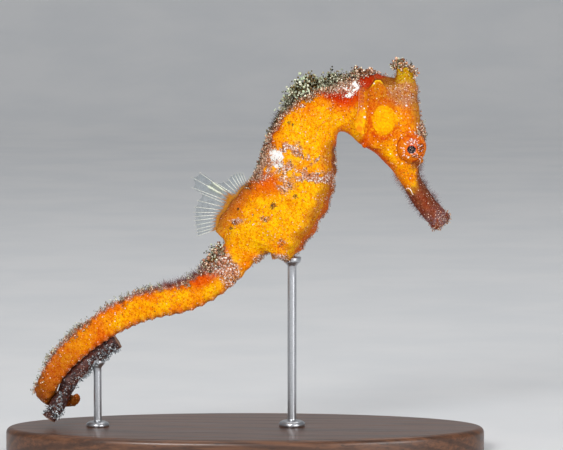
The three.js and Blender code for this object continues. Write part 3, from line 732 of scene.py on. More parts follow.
def head_relief(p, n, s):
    """How far the head's own forms stand out of the rough shape."""
    x, y, z = p.T
    facing = ramp(np.abs(n[:, 1]), 0.15, 0.5) * ramp(np.abs(y), 1.0, 1.6)
    eye = np.hypot(x - EYE["x"], z - EYE["z"])
    lid = 0.1 * bell(eye - 2.75, 0.2) - 0.12 * bell(eye - 3.2, 0.2) + 0.05 * bell(eye - 3.6, 0.2)
    z = z - SLANT * np.abs(y)
    disc = np.hypot((x - DISC["x"]) / DISC["wide"], (z - DISC["z"]) / DISC["high"])
    boss = 0.34 * ramp(disc, 1.04, 0.5) - 0.1 * bell(disc - 1.12, 0.1) + 0.06 * bell(disc - 1.36, 0.14)
    depth = lobe_depth(x, z)
    knob = 0.24 * ramp(depth, -0.12, 0.28) + 0.08 * bell(depth - 0.28, 0.16) - 0.1 * bell(depth + 0.22, 0.18)
    knob *= ramp(z, 71.0, 73.0) * window(x, 23.8, 29.6, 0.4)
    edge = x - GILL_SLOPE * z - 14.1
    groove = (-0.08 * bell(edge, 0.18) + 0.08 * bell(edge + 0.6, 0.35)) * window(z, 62.3, 72.6, 0.8)
    panel = 0.14 * bell(x - 22.3, 0.22) * window(z, 66.5, 74.0, 0.8)
    jaw = -0.14 * bell(z - (0.78 * (x - 31.0) + 57.2), 0.25) * window(x, 26.5, 31.5, 0.8)
    gape = 0.12 * bell(s - 0.7, 0.35) - 0.12 * bell(s - 1.5, 0.4)
    return facing * (lid + boss + knob + groove + panel + jaw) + gape


def body_relief(p, s, angle):
    """Low knobs where the rings cross the ridges, fine folds and a slight unevenness."""
    crest = ring_crest(s) ** 3
    tail = tail_share(s)
    thinner = 1 - 0.6 * ramp(s, 100, LENGTH)
    knobs = (0.16 + 0.02 * tail) * ridges(s, angle, 6.5) * crest * open_share(s, angle) * thinner
    calm = -0.13 * tail * (ring_crest(s) - 0.5) * ramp(np.abs(folded(angle) - 90), 38, 26)
    seam = -0.05 * bell(np.mod(rings_before(s) + 0.5, 1) - 0.5, 0.06) * ridge_share(s)
    slim = -0.2 * window(s, 106, 119, 3) * ramp(folded(angle), 60, 130)
    uneven = 0.07 * lumps(p, 2.6, 1) + 0.05 * lumps(p, 1.1, 2) + 0.03 * lumps(p, 0.5, 3) + calm + slim
    return knobs + seam + uneven


def carve_orbits(p):
    """Sinks the skin under the eyeballs, so that each stands in its own round opening."""
    x, y, z = p.T
    away = np.hypot(x - EYE["x"], z - EYE["z"])
    dome = EYE["deep"] * np.sqrt(np.maximum(1 - (away / EYE["wide"]) ** 2, 0))
    hidden = EYE["out"] + dome - 0.3
    share = ramp(away, 2.6, 2.42) * ramp(np.abs(y), 0.8, 1.4)
    sunk = np.minimum(np.abs(y), hidden)
    return np.stack([x, np.sign(y) * (np.abs(y) * (1 - share) + sunk * share), z], axis=1)


def carve_mouth(p, s):
    """A small slit between the lips."""
    at, along, back, side = frame_at(np.zeros(1))
    slit = bell((p - at) @ back[0], 0.3) * bell((p - at) @ side[0], 1.0) * (s < 1.2)
    return p + along[0] * (0.7 * slit)[:, None]


def softened(mesh, p, share, turns):
    """Evens out the points of a mesh with their neighbours, where share is above 0."""
    ends = np.empty(2 * len(mesh.edges), dtype=np.int64)
    mesh.edges.foreach_get("vertices", ends)
    one, other = ends.reshape(-1, 2)[np.max(share[ends.reshape(-1, 2)], axis=1) > 0].T
    near = np.bincount(np.concatenate([one, other]), minlength=len(p))
    p = p.copy()
    for _ in range(turns):
        total = [np.bincount(one, way[other], len(p)) + np.bincount(other, way[one], len(p)) for way in p.T]
        middle = np.stack(total, axis=1) / np.maximum(near, 1)[:, None]
        p += (middle - p) * (0.6 * share)[:, None]
    return p


def skin_shape():
    """The skin in millimetres: softened behind the vent, with all its own forms, and thinned."""
    mesh = rough_body()
    p, n = places_of(mesh), ways_of(mesh)
    s, angle = body_map.find(p)
    hip = window(s, 66.5, 76.0, 1.5) * ramp(folded(angle), 140, 118) * ramp(folded(angle), 12, 30)
    p = softened(mesh, p, hip, 160)
    p = p + n * (head_relief(p, n, s) * (s < HEAD_END) + body_relief(p, s, angle))[:, None]
    p = carve_mouth(carve_orbits(p), s)
    move_points(mesh, p)
    obj = put("skin_fine", mesh)
    triangles = sum(len(face.vertices) - 2 for face in mesh.polygons)
    if triangles > SKIN_TRIANGLES:
        thin = obj.modifiers.new("thin", "DECIMATE")
        thin.ratio = SKIN_TRIANGLES / triangles
    made = result_of(obj)
    bpy.data.objects.remove(obj)
    face_outwards(made)
    made.shade_smooth()
    return made


# ---- The skin's markings ----


class Marks:
    """Where the animal's colours and growths lie, for the points of its skin."""

    def __init__(self, mesh):
        self.p = places_of(mesh)
        self.s, self.angle = body_map.find(self.p)
        self.a = folded(self.angle)
        self.x, self.y, self.z = self.p.T
        self.eye = np.hypot(self.x - EYE["x"], self.z - EYE["z"])
        self.z = self.z - SLANT * np.abs(self.y)  # the height that all markings but the eye's go by
        self.uneven = lumps(self.p, 2.2, 11) + 0.5 * lumps(self.p, 0.9, 12)

    def patch(self, x, z, wide, high, soft=0.4, uneven=0.16):
        """1 inside an oval seen from the side, with an uneven soft edge."""
        away = np.hypot((self.x - x) / wide, (self.z - z) / high) + uneven * self.uneven
        return ramp(away, 1 + soft, 1 - soft)

    def patchy(self, size, seed, low=-0.2, high=0.3):
        return ramp(lumps(self.p, size, seed), low, high)

    def near_path(self, points, width):
        """1 along a path given by its (x, z) corners, falling to 0 at about that width from it."""
        here = np.stack([self.x, self.z], axis=1)
        away = np.full(len(here), 1e9)
        for a, b in zip(np.array(points[:-1]), np.array(points[1:])):
            t = np.clip((here - a) @ (b - a) / ((b - a) @ (b - a)), 0, 1)
            away = np.minimum(away, np.linalg.norm(here - a - t[:, None] * (b - a), axis=1))
        return ramp(away + 0.35 * width * self.uneven, width * 1.3, width * 0.5)


def head_patches(m):
    """(colour, share) for the head, in the order they cover each other."""
    crown = np.maximum(m.patch(32.2, 71.8, 2.9, 2.5, 0.45), 0.8 * m.patch(29.8, 72.6, 1.8, 1.3, 0.5))
    disc = np.hypot((m.x - DISC["x"]) / DISC["wide"], (m.z - DISC["z"]) / DISC["high"]) + 0.05 * m.uneven
    below = ramp((DISC["x"] - m.x) * 0.75 + (DISC["z"] - m.z) * 0.6, -1.2, 2.0)
    head, eye, turned = m.s < HEAD_END, m.eye, np.cos(np.radians(m.angle))
    lobe = ramp(lobe_depth(m.x, m.z), -0.1, 0.2) * window(m.z, 70.6, 76.0, 1.0)
    lobe = lobe * window(m.x, 23.9, 29.2, 0.5) * head
    gill = 0.3 * bell(m.x - GILL_SLOPE * m.z - 14.5 - 0.2 * m.uneven, 0.45) * window(m.z, 61.8, 72.0, 0.8)
    return [
        (UMBER, 0.5 * m.patch(27.0, 71.8, 3.8, 3.0, 0.4)),
        (UMBER, 0.9 * ramp(m.a, 32, 16) * window(m.x, 25.0, 30.6, 1.2) * head),
        (UMBER, 0.35 * m.patch(29.0, 70.8, 1.6, 1.5)),
        # Partly the colour of its fuzz, partly painted shade where the top of the face turns away at its edge
        (FOREHEAD, 0.8 * ramp(m.a, 46, 22) * window(m.s, 15.5, 24.5, 1.5)),
        (CROWN_GREY, crown * (0.8 + 0.3 * m.uneven)),
        (LILAC, 0.55 * crown * m.patchy(0.7, 21, -0.1, 0.3)),
        (OLIVE, 0.95 * ramp(m.z + 0.3 * m.uneven, 73.6, 74.8) * window(m.x, 28.2, 34.5, 0.8)),
        (UMBER, 0.95 * ramp(m.z + 0.3 * m.uneven, 72.8, 74.0) * window(m.x, 26.8, 30.2, 0.7)),
        (LID, 0.9 * ramp(eye + 0.25 * m.uneven, 3.9, 2.7)),
        (MAROON, 0.85 * m.patch(34.0, 58.0, 1.6, 1.1, 0.5) * m.patchy(0.8, 25, -0.3, 0.2)),
        (RED, 0.95 * m.patch(22.9, 74.4, 2.6, 2.2, 0.3)),
        (RED, 0.75 * m.patch(25.9, 75.7, 2.8, 0.9, 0.4)),
        (DEEP, 0.55 * m.patch(26.6, 66.0, 3.3, 4.6, 0.35) * m.patchy(1.0, 29, -0.8, 0.1)),
        (DEEP, 0.75 * bell(disc - 1.24, 0.22) * (0.45 + 0.55 * below) * m.patchy(1.2, 26, -0.9, -0.1)),
        (AMBER, 0.5 * m.patch(27.2, 70.2, 2.6, 0.8, 0.5)),
        (YELLOW, 0.95 * m.patch(DISC["x"], DISC["z"], 2.25, 2.85, 0.26, 0.08)),
        (paint(200, 112, 2), 0.65 * lobe),
        (AMBER, 0.25 * lobe * m.patchy(0.9, 30)),
        (YELLOW, 0.85 * m.patch(22.7, 65.2, 1.5, 4.0, 0.25)),
        (DEEP, gill * m.patchy(1.0, 27, -0.9, 0.0)),
        (SCARLET, 0.75 * ramp(m.a, 130, 154) * window(m.s, 14, 25, 1.5)),
        (DEEP, 0.5 * ramp(m.a, 120, 140) * window(m.s, 11, 21, 1.5) * m.patchy(0.9, 23)),
        (PLUM, 0.95 * ramp(m.s - (1.2 + 2.7 * turned) * turned + m.uneven, 9.9, 7.7)),
        (RUSSET, 0.5 * ramp(m.s, 10.5, 9.0) * bell(m.a - 95, 34) * m.patchy(1.2, 28, -0.8, 0.2)),
        (MAROON, 0.55 * ramp(m.a, 120, 150) * ramp(m.s, 10.0, 8.5)),
        (paint(120, 96, 106), 0.75 * m.patchy(0.6, 22, -0.4, 0.1) * ramp(m.s, 4.4, 1.0)),
    ]


SPOTS = [  # x, z and width of the darker specks on the right side
    (10.1, 51.3, 0.36), (5.7, 49.5, 0.5), (8.8, 66.0, 0.3), (9.5, 65.6, 0.2), (-2.2, 46.1, 0.36),
    (-2.8, 45.0, 0.28), (-1.4, 48.8, 0.24), (4.1, 46.6, 0.34), (7.2, 41.6, 0.2),
]


def trunk_patches(m):
    """(colour, share) for the neck, the trunk and the tail."""
    back = ramp(m.a, 34, 14)
    # Painted shade: the underside of the trunk and its lower flank are darker where they turn away from the
    # light
    belly_shade_band = ramp(m.a + 3 * m.uneven, 150, 160) * window(m.s, 37.5, 66, 1.2)
    belly_side_shade = ramp(m.a + 7 * m.uneven, 126, 146) * window(m.s, 39, 64, 2)
    right = m.y < 0
    spots = sum(m.patch(x, z, size, size, 0.3, 0.2) for x, z, size in SPOTS) * right
    return [
        (ORANGE, 0.75 * back * window(m.s, 33, 66, 1)),
        (YELLOW, 0.5 * m.patch(13.5, 62.0, 3.4, 4.4)),
        (YELLOW, 0.7 * m.patch(9.0, 48.6, 5.8, 5.6)),
        (YELLOW, 0.65 * m.patch(0.2, 44.0, 3.8, 3.6)),
        (ORANGE, 0.6 * m.patch(4.6, 53.6, 3.0, 2.2)),
        (SCARLET, 0.95 * m.patch(19.6, 71.2, 4.2, 2.8, 0.6)),
        (RED, 0.7 * m.patch(18.2, 71.8, 3.0, 1.7)),
        (SCARLET, 0.9 * ramp(m.a, 40, 20) * window(m.s, 43.0, 50.0, 1)),
        (CROWN_GREY, 0.6 * m.patch(19.6, 74.2, 2.6, 1.2, 0.5)),
        (SCARLET, 0.65 * m.patch(3.8, 54.2, 3.4, 2.6, 0.6)),
        (ORANGE, 0.65 * ramp(m.a, 48, 26) * window(m.s, 57, 69, 1.5)),
        # Painted shade: rust, brown and amber darken the underside of the trunk and of the chest
        (RUST, 0.5 * belly_side_shade),
        (BROWN, 0.9 * belly_shade_band * ramp(m.s, 63, 53)),
        (AMBER, 0.7 * belly_shade_band * ramp(m.s, 50, 58)),
        (AMBER, 0.5 * ramp(m.a, 136, 158) * window(m.s, 32, 40, 2)),
        (BROWN, 0.85 * bell(m.a, 13) * window(m.s, 58, 71, 0.8)),
        (SCARLET, 0.85 * m.patch(-8.6, 35.4, 4.4, 2.2) * ramp(m.a, 105, 70)),
        (SCARLET, 0.5 * m.patch(-13.0, 33.8, 4.2, 1.5)),
        (PINKISH, 0.45 * m.patch(-5.6, 37.8, 3.2, 2.8)),
        (AMBER, 0.55 * ramp(m.a, 55, 30) * window(m.s, 84, 126, 3)),
        (RUST, 0.55 * bell(m.a - 144, 17) * window(m.s, 76, 118, 3)),
        (PINKISH, 0.5 * bell(m.a - 140, 13) * window(m.s, 76, 118, 3) * ring_crest(m.s)),
        (AMBER, 0.55 * ramp(m.s, 99, 106)),
        (RUST, 0.45 * ramp(m.s, 108, 115)),
        (RUST, 0.8 * ramp(m.s, 115, 124)),
        (UMBER, 0.55 * ramp(m.s, 118, 126)),
        (SLATE, 0.5 * np.clip(spots, 0, 1)),
    ]


def tone_of(m):
    """The animal's colour without its finest marks."""
    # Painted light: the flanks are made yellower than the back and the belly, for a lit middle with darker
    # edges
    side = 0.25 * window(m.a, 58, 126, 14)
    orange = 0.4 + 0.75 * lumps(m.p, 3.2, 13) + 0.45 * lumps(m.p, 1.2, 14) - side + 0.2 * ramp(m.s, 76, 90)
    tone = YELLOW + (ORANGE - YELLOW) * np.clip(orange, 0, 1)[:, None]
    for colour, share in [*trunk_patches(m), *head_patches(m)]:
        share = np.clip(share, 0, 1)[:, None]
        tone = tone * (1 - share) + colour * share
    return tone


SILT_BEDS = [  # x, z, width and height of the beds of silt on the trunk, seen from the side
    (3.9, 58.4, 2.2, 2.6), (3.1, 55.8, 1.7, 1.4), (8.4, 57.0, 3.2, 1.6), (9.6, 60.8, 2.2, 1.3),
    (7.9, 53.8, 1.8, 1.6), (11.6, 55.4, 2.2, 1.0), (15.8, 55.0, 2.0, 1.2), (-1.8, 46.4, 1.4, 0.5),
    (4.2, 46.8, 0.9, 0.4), (7.3, 42.2, 0.9, 0.6), (17.1, 69.6, 0.8, 0.8), (11.4, 69.4, 0.6, 0.5),
]
SILT_PATHS = [  # the corners of lines of silt, one of which follows a ring
    [(8.2, 56.7), (11.0, 55.6), (14.0, 55.2), (17.6, 54.6)],
    [(12.3, 56.9), (15.3, 59.4)],
    [(7.6, 61.2), (10.6, 59.8), (12.4, 59.0)],
]


def silt_on(m):
    """How thickly fine silt and grit lie on the skin."""
    beds = sum(m.patch(x, z, wide, high, 0.5, 0.3) for x, z, wide, high in SILT_BEDS)
    lines = sum(m.near_path(path, width) for path, width in zip(SILT_PATHS, (1.0, 0.3, 0.7)))
    ridge = 0.2 * bell(m.a - 140, 7) * window(m.s, 42, 66, 1.5) * m.patchy(1.4, 31)
    root = m.patch(-6.4, 38.6, 3.4, 3.0) * ramp(m.a, 150, 100) + 0.9 * m.patch(-3.0, 36.0, 2.1, 2.6)
    vent = 0.9 * m.patch(5.5, 38.8, 3.4, 1.1)
    tail = 0.5 * window(m.s, 76, 118, 2) * ramp(m.a, 52, 30)
    nape = 0.9 * m.patch(18.4, 73.4, 4.6, 1.6) + 0.25 * m.patch(31.6, 72.0, 3.0, 2.4, 0.5)
    knobs = 0.8 * bell(m.a - 142, 8) * window(m.s, 76, 116, 2) * ring_crest(m.s) ** 2
    spread = np.clip(beds * 0.85 + lines, 0, 1) * m.patchy(0.8, 32, -0.55, 0.05)
    return np.clip(spread + ridge + root + vent + tail + nape + knobs, 0, 1)


def specks_on(m):
    """How many small pale specks the skin has."""
    snout = ramp(m.s, 14, 1)
    crown = m.patch(32.0, 71.8, 3.0, 2.7, 0.4)
    rich = 0.45 * snout - 0.12 * ramp(m.s, 70, 84) + 0.25 * m.patchy(3.5, 33) + 0.5 * silt_on(m) + 0.3 * crown
    rich = 0.3 + rich + 0.22 * ramp(m.s, 98, 108) - 0.25 * m.patch(21.8, 73.2, 3.4, 2.8)
    rich = rich - 0.3 * m.patch(27.6, 75.0, 3.0, 1.6) - 0.15 * m.patch(27.2, 67.0, 3.6, 5.0)
    return np.clip(rich, 0, 1)


def mark_skin(mesh):
    """Keeps the colour, the silt, the specks and the place on the unwrap for the points of the skin."""
    m = Marks(mesh)
    note(mesh, "tone", tone_of(m), "FLOAT_COLOR")
    note(mesh, "silt", silt_on(m))
    note(mesh, "specks", specks_on(m))
    place = np.stack([m.s / LENGTH, m.angle / 360, 0 * m.s], axis=1)
    note(mesh, "place", place, "FLOAT_VECTOR")
    return m


def oval(x, z, middle, wide, high):
    """0 at the middle of an oval and 1 on its edge."""
    return (((x - middle[0]) / wide) ** 2 + ((z - middle[1]) / high) ** 2) ** 0.5


def mottled(f, tone, pink):
    """Gives a finish its mottled skin colour. Returns two of the noises, and how high it all stands."""
    broad, soft, fine = f.noise(1.6, 4, 0.6), f.noise(0.5, 4, 0.7), f.noise(0.25, 2, 0.7)
    deep = f.mix(tone, (0.84, 0.4, 0.1), 1.0, "MULTIPLY")
    dusk = f.mix(tone, (0.42, 0.2, 0.3), 1.0, "MULTIPLY")
    light = f.mix(tone, (1.12, 1.4, 1.0), 1.0, "MULTIPLY")
    f.colour = f.mix(tone, deep, broad.ramp(0.48, 0.36) * 0.4)
    f.lay(light, broad.ramp(0.53, 0.64) * 0.4)
    f.lay(deep, soft.ramp(0.49, 0.41) * 0.75)
    f.lay(light, soft.ramp(0.54, 0.62) * 0.7)
    f.lay(dusk, fine.ramp(0.42, 0.36) * 0.5)
    f.lay(f.mix(tone, PINK_SPECK, 0.8), fine.ramp(0.62, 0.67) * pink)
    return soft, fine, broad * 0.3 + soft * 0.7 + fine * 0.5


def line_at(value, middle, width):
    """1 where a value is near the middle one, falling to 0 at that width from it."""
    return (value - middle).math("ABSOLUTE").ramp(width, width * 0.4)


def head_lines(f, x, y, z, soft):
    """The fine lines of the head: a line of painted shade in the fold of the lower lid, lines along the gill
    cover and its lobe, with a painted highlight on the lobe's upper rim, and lines round its boss.
    """
    seen = z - y.math("ABSOLUTE") * SLANT
    side = y.math("ABSOLUTE").ramp(1.2, 2.2)
    stray = (soft - 0.5) * 0.5
    eye = oval(x, z, (EYE["x"], EYE["z"]), 1, 1)
    brow = EYE["z"] + EYE["x"] * 0.6
    # Painted shade: a dark line in the fold where the lower lid meets the eyeball
    lid = line_at(eye + stray * 0.6, 2.72, 0.16) * (x * 0.6 + z).ramp(brow + 2.2, brow)
    f.lay(paint(150, 52, 4), lid * side * 0.85)
    disc = oval(x, seen, (DISC["x"], DISC["z"]), DISC["wide"], DISC["high"])
    calm = disc.ramp(1.12, 0.78) * side
    f.lay(f.mix(paint(250, 166, 0), paint(255, 190, 6), soft.ramp(0.4, 0.62)), calm * 0.62)
    striae = ((seen * 0.9 + x * 0.25 + soft * 0.9) * 11).math("SINE").ramp(0.1, 0.9)
    striae = striae * calm * (seen - x * 0.3).ramp(57.2, 58.4)
    f.lay(ORANGE, striae * 0.3)
    around = line_at(disc + stray, 1.2, 0.26) * (seen + x * 0.8).ramp(90.4, 87.6)
    f.lay(paint(196, 64, 0), around * side * soft.ramp(0.62, 0.42) * 0.7)
    above = line_at(disc + stray * 0.6, 1.16, 0.12) * seen.ramp(67.6, 68.6)
    f.lay(paint(206, 96, 8), above * side * 0.6)
    below = seen * -1.0 + LOBE["z"]
    flank = (below - ((x - LOBE["x"]).math("ABSOLUTE") - LOBE["flat"]) * LOBE["slope"]) * 0.58
    depth = below.lowest(flank) + stray * 0.3
    near = seen.ramp(72.2, 73.2) * side * x.ramp(34.0, 30.0)
    arch = line_at(depth, -0.16, 0.22) * near * x.ramp(28.0, 26.8, 0.08, 0.75)
    f.lay(paint(120, 40, 8), arch)
    # Painted highlight along the upper rim of the lobe
    rim = line_at(depth, 0.14, 0.2) * near * (seen - x * 0.25).ramp(66.6, 67.3) * 0.9
    f.lay(paint(255, 196, 30), rim)
    gill = x - seen * GILL_SLOPE - 14.2 + stray * 1.4
    groove = line_at(gill + stray, 0.0, 0.26) * seen.ramp(61.6, 62.4) * seen.ramp(71.0, 67.6) * side
    f.lay(paint(190, 62, 2), groove * 0.5)
    second = line_at(gill, 0.6, 0.2) * seen.ramp(61.6, 62.8) * seen.ramp(68.0, 66.4) * side
    f.lay(paint(206, 84, 4), second * 0.4)
    return seen, calm, striae


EYE_RAYS = 22


def eye_marks(f, x, z, soft, fine):
    """Lays pale rays and specks round the pupil. Returns how far from it a place is, and the marks."""
    x, z = x - PUPIL["x"], (z - PUPIL["z"]) * 1.1
    away = (x * x + z * z) ** 0.5
    spot = z.math("ARCTAN2", x) * (EYE_RAYS / (2 * math.pi)) + soft * 2.2
    number = spot.math("FLOOR")
    off = (spot - number - 0.5).math("ABSOLUTE")
    chance = f.node("ShaderNodeTexWhiteNoise", {"noise_dimensions": "1D"}, {"W": number})
    start = chance * 0.7 + 1.1
    end = start + (chance * 5.1).math("FRACT") * 0.8 + 0.2
    dash = (off * away).ramp(0.4, 0.24) * (away - start).ramp(0.0, 0.08) * (end - away).ramp(0.0, 0.12)
    dash = dash * (chance * 7.3).math("FRACT").ramp(0.34, 0.38) * fine.ramp(0.4, 0.46)
    cluster = (oval(x, z, (0.25, 1.5), 1.2, 0.85) + soft * 1.2).ramp(1.75, 1.4)
    brown = (oval(x, z, (1.8, 0.4), 0.8, 1.1) + soft * 0.9).ramp(1.5, 1.2)
    brown = brown.highest((oval(x, z, (0.8, -1.5), 1.2, 0.45) + soft * 0.9).ramp(1.5, 1.2))
    dots = f.cells(0.3)
    chance = f.parts(dots.of("Color"))[0]
    f.lay(paint(170, 96, 84), cluster * fine.ramp(0.6, 0.44) * 0.8)
    f.lay(paint(70, 30, 20), brown * fine.ramp(0.6, 0.48) * 0.9)
    specks = dots.ramp(0.42, 0.3) * (cluster * 0.8 + brown * 0.5 - chance).ramp(0.0, 0.1)
    f.lay(paint(252, 232, 236), specks)
    f.lay(paint(255, 242, 234), dash)
    return away, dash + specks


# Ovals that make up a chalky patch on the back: middle, width and height.
DAUB = [((6.3, 59.2), 1.15, 1.15), ((5.6, 60.2), 0.7, 0.6), ((6.5, 57.6), 0.85, 0.5)]


def skin_finish():
    """The skin: its mottling, the lines of the head, silt, pale and dark specks and a chalky patch."""
    f = Finish("seahorse_skin", specular_ior_level=0.03)
    silt, specks = f.noted("silt"), f.noted("specks")
    soft, fine, height = mottled(f, f.noted("tone", "Color"), specks.ramp(0.05, 0.35, 0.1, 0.65))
    x, y, z = f.parts(f.here)
    seen, calm, striae = head_lines(f, x, y, z, soft)
    _, marks = eye_marks(f, x, z, soft, fine)
    dust = silt * soft.ramp(0.36, 0.52)
    crust = f.mix(paint(150, 74, 36), paint(218, 150, 116), fine.ramp(0.4, 0.58))
    f.lay(crust, dust * 0.85)
    dots = f.cells(0.5)
    chance, tint, _ = f.parts(dots.of("Color"))
    pale = (dots + fine * 0.3).ramp(0.44, 0.36) * (specks * (1 - calm * 0.7) * 0.46 - chance).ramp(0.0, 0.05)
    f.lay(f.mix(paint(200, 116, 74), paint(252, 226, 206), tint.ramp(0.45, 0.7)), pale * 0.95)
    spots = f.cells(1.25)
    lone = f.parts(spots.of("Color"))[1]
    dark = (spots + fine * 0.1).ramp(0.2, 0.14) * lone.ramp(0.84, 0.88) * (1 - calm)
    f.lay(paint(80, 40, 26), dark * 0.8)
    daub = None
    for middle, wide, high in DAUB:
        away = oval(x, seen, middle, wide, high)
        daub = away if daub is None else daub.lowest(away)
    chalk = (daub + soft * 2.4 + fine * 1.2).ramp(2.95, 2.85) * y.ramp(-0.5, -1.0)
    f.lay(f.mix(paint(254, 250, 246), paint(226, 200, 188), fine.ramp(0.56, 0.7)), chalk)
    height = height + pale * 0.8 + dust * 0.8 + striae * 0.15 + chalk * 1.4 - dark * 0.5 + marks * 0.5
    rough = soft.between(0.44, 0.6) + (dust + chalk) * 0.2
    return f.use(roughness=rough, normal=f.bump(height, 0.9, 0.14))


# ---- The eyes ----


def eye_finish(name):
    """Skin-like orange with short pale rays round a small dark pupil, which has painted glints of reflection.
    """
    f = Finish("eye_" + name, coat_roughness=0.06, specular_ior_level=0.1)
    x, _, z = f.parts(f.here)
    upper = (x + z).ramp(93.4, 96.2)
    soft, fine, height = mottled(f, f.mix(paint(226, 122, 0), paint(216, 100, 0), upper), 0.1)
    away, marks = eye_marks(f, x, z, soft, fine)
    ring = (away + fine * 0.3).ramp(1.28, 1.16)
    low = (x * 0.4 - z + fine * 0.8).ramp(-46.9, -46.5)
    glint = low * fine.ramp(0.48, 0.56)
    f.lay(f.mix(paint(238, 80, 22), paint(252, 224, 204), glint), ring * 0.85)
    pupil = (away + (fine - 0.5) * 0.5).ramp(0.95, 0.85)
    # The dark pupil with painted glints of reflection
    dark = f.mix(paint(22, 6, 8), paint(190, 160, 156), fine.ramp(0.56, 0.64))
    f.lay(dark, pupil)
    height = (height + marks * 0.5) * away.ramp(0.95, 1.2)
    rough = pupil.ramp(0.0, 1.0, 0.5, 0.14)
    return f.use(roughness=rough, coat_weight=pupil * 0.3, normal=f.bump(height, 0.7, 0.1))


def make_eyes():
    for side, name in ((-1, "right"), (1, "left")):
        middle = (EYE["x"], side * EYE["out"], EYE["z"])
        shape = ball(middle, (EYE["wide"], EYE["deep"], EYE["wide"]), 0, 56, 80)
        show("eyeball_" + name, shape, eye_finish(name), "eye", "eye_" + name)


# ---- Growth: small tufts and grains that are scattered over a surface ----

PATCH = 0.003  # width of a tuft's place on the unwrap


def flat_leaf(points):
    """Where each point of a tuft lies in the tuft's patch of the unwrap, from 0 to 1 each way."""
    low = points.min(axis=0)
    share = (points - low) / np.maximum(points.max(axis=0) - low, 1e-6)
    return np.stack([share[:, 0], share[:, 2], 0 * share[:, 0]], 1)


def stalk(path, radii, sides=3):
    """A thin stalk along a path that ends in a point."""
    path = np.asarray(path, float)
    turn = all_round(sides)
    rings = [p + r * np.stack([np.cos(turn), np.sin(turn), 0 * turn], 1) for p, r in zip(path, radii)]
    points = np.concatenate([*rings, path[-1:] + (path[-1:] - path[-2:-1]) * 0.3])
    faces = []
    for i in range(len(path) - 1):
        for j in range(sides):
            a, b = i * sides + j, i * sides + (j + 1) % sides
            faces.append([a, b, b + sides, a + sides])
    start, tip = (len(path) - 1) * sides, len(points) - 1
    faces += [[start + j, start + (j + 1) % sides, tip] for j in range(sides)]
    faces.append(list(range(sides))[::-1])
    return points, faces


def grain(middle, radius, rng, uneven=0.25):
    """An eight-sided grain with uneven corners."""
    corners = np.array([(1, 0, 0), (0, 1, 0), (-1, 0, 0), (0, -1, 0), (0, 0, 1), (0, 0, -1)], float)
    corners *= radius * (1 + rng.uniform(-uneven, uneven, (6, 3)))
    faces = [[k, (k + 1) % 4, 4] for k in range(4)] + [[(k + 1) % 4, k, 5] for k in range(4)]
    return corners + np.asarray(middle), faces


def bent_path(rng, height, steps, sway):
    """A path that rises from the origin and leans a random way."""
    lean_way = rng.uniform(-1, 1, 2) * sway
    rise = np.linspace(0, 1, steps)
    wave = rng.uniform(-1, 1, (steps, 2)) * sway * 0.3 * rise[:, None]
    return np.concatenate([lean_way * rise[:, None] ** 1.5 + wave, (height * rise)[:, None]], axis=1)


def sprig(rng, grains, size):
    """A stalk of height 1 with grains caught along it: the pale ones stand out from the dark ones."""
    path = bent_path(rng, 0.9, 4, 0.45)
    shapes = [stalk(path, (0.022, 0.018, 0.014, 0.008))]
    tints = [np.zeros(len(shapes[0][0]))]
    for k in range(grains):
        t = ((k + rng.uniform(0.2, 1.0)) / grains) ** 0.6
        middle = np.array([np.interp(t, np.linspace(0, 1, 4), path[:, axis]) for axis in range(3)])
        middle += rng.uniform(-0.1, 0.1, 3) * (0.6 + t)
        pale = rng.uniform() < 0.25 + 0.35 * t
        shapes.append(grain(middle, size * rng.uniform(0.6, 1.1) * (1.3 if pale else 1.0), rng))
        tints.append(np.full(6, rng.uniform(0.72, 1.0) if pale else rng.uniform(0.1, 0.6)))
    return (*joined(shapes), np.concatenate(tints))


def hairs(rng, count):
    """A few thin hairs that stand together."""
    shapes = []
    for _ in range(count):
        foot = np.append(rng.uniform(-0.16, 0.16, 2), 0)
        path = bent_path(rng, rng.uniform(0.55, 1.0), 3, 0.5) + foot
        shapes.append(stalk(path, (0.013, 0.011, 0.007)))
    points, faces = joined(shapes)
    return points, faces, np.zeros(len(points))


def pebble(rng):
    """A flattened grain about as wide as 1."""
    points, faces = grain((0, 0, 0.12), 0.5, rng, 0.35)
    return points * np.array([1, rng.uniform(0.6, 1), rng.uniform(0.45, 0.8)]), faces, np.ones(6)


def tuft_set(name, shapes):
    """A collection of tufts to choose from, each with its patch of the unwrap and how high its points lie."""
    made = bpy.data.collections.new(name)
    for k, (points, faces, tints) in enumerate(shapes):
        mesh = make_mesh(f"{name}_{k}", points, faces, scale=1.0)
        face_outwards(mesh)
        note(mesh, "tint", tints)
        note(mesh, "leaf", flat_leaf(points), "FLOAT_VECTOR")
        note(mesh, "rise", np.clip(points[:, 2], 0, 1))
        made.objects.link(bpy.data.objects.new(f"{name}_{k}", mesh))
    return made


def open_tree(name, kinds):
    """A new Geometry Nodes tree whose inputs have those names and kinds, and its inputs."""
    tree = bpy.data.node_groups.new(name, "GeometryNodeTree")
    for key, kind in kinds.items():
        tree.interface.new_socket(key, in_out="INPUT", socket_type="NodeSocket" + kind)
    tree.interface.new_socket("Result", in_out="OUTPUT", socket_type="NodeSocketGeometry")
    g = Nodes(tree)
    return g, g.node("NodeGroupInput")


def close_tree(g, shape, finish):
    """Gives the shape its material and makes it the tree's result."""
    done = g.node("GeometryNodeSetMaterial", None, {"Geometry": shape, "Material": finish})
    g.tree.links.new(done.socket, g.tree.nodes.new("NodeGroupOutput").inputs[0])
    return g.tree


def through(obj, tree, values):
    """What a Geometry Nodes tree makes of an object in millimetres, as a plain mesh in metres."""
    step = obj.modifiers.new("step", "NODES")
    step.node_group = tree
    for socket in tree.interface.items_tree:
        if socket.in_out == "INPUT" and socket.name in values:
            step[socket.identifier] = values[socket.name]
    made = result_of(obj)
    made.transform(Matrix.Scale(MM, 4))
    return made


def noted_input(g, name, kind="FLOAT"):
    """What the mesh keeps under a name, in a Geometry Nodes tree."""
    return g.node("GeometryNodeInputNamedAttribute", {"data_type": kind}, {"Name": name}, "Attribute")


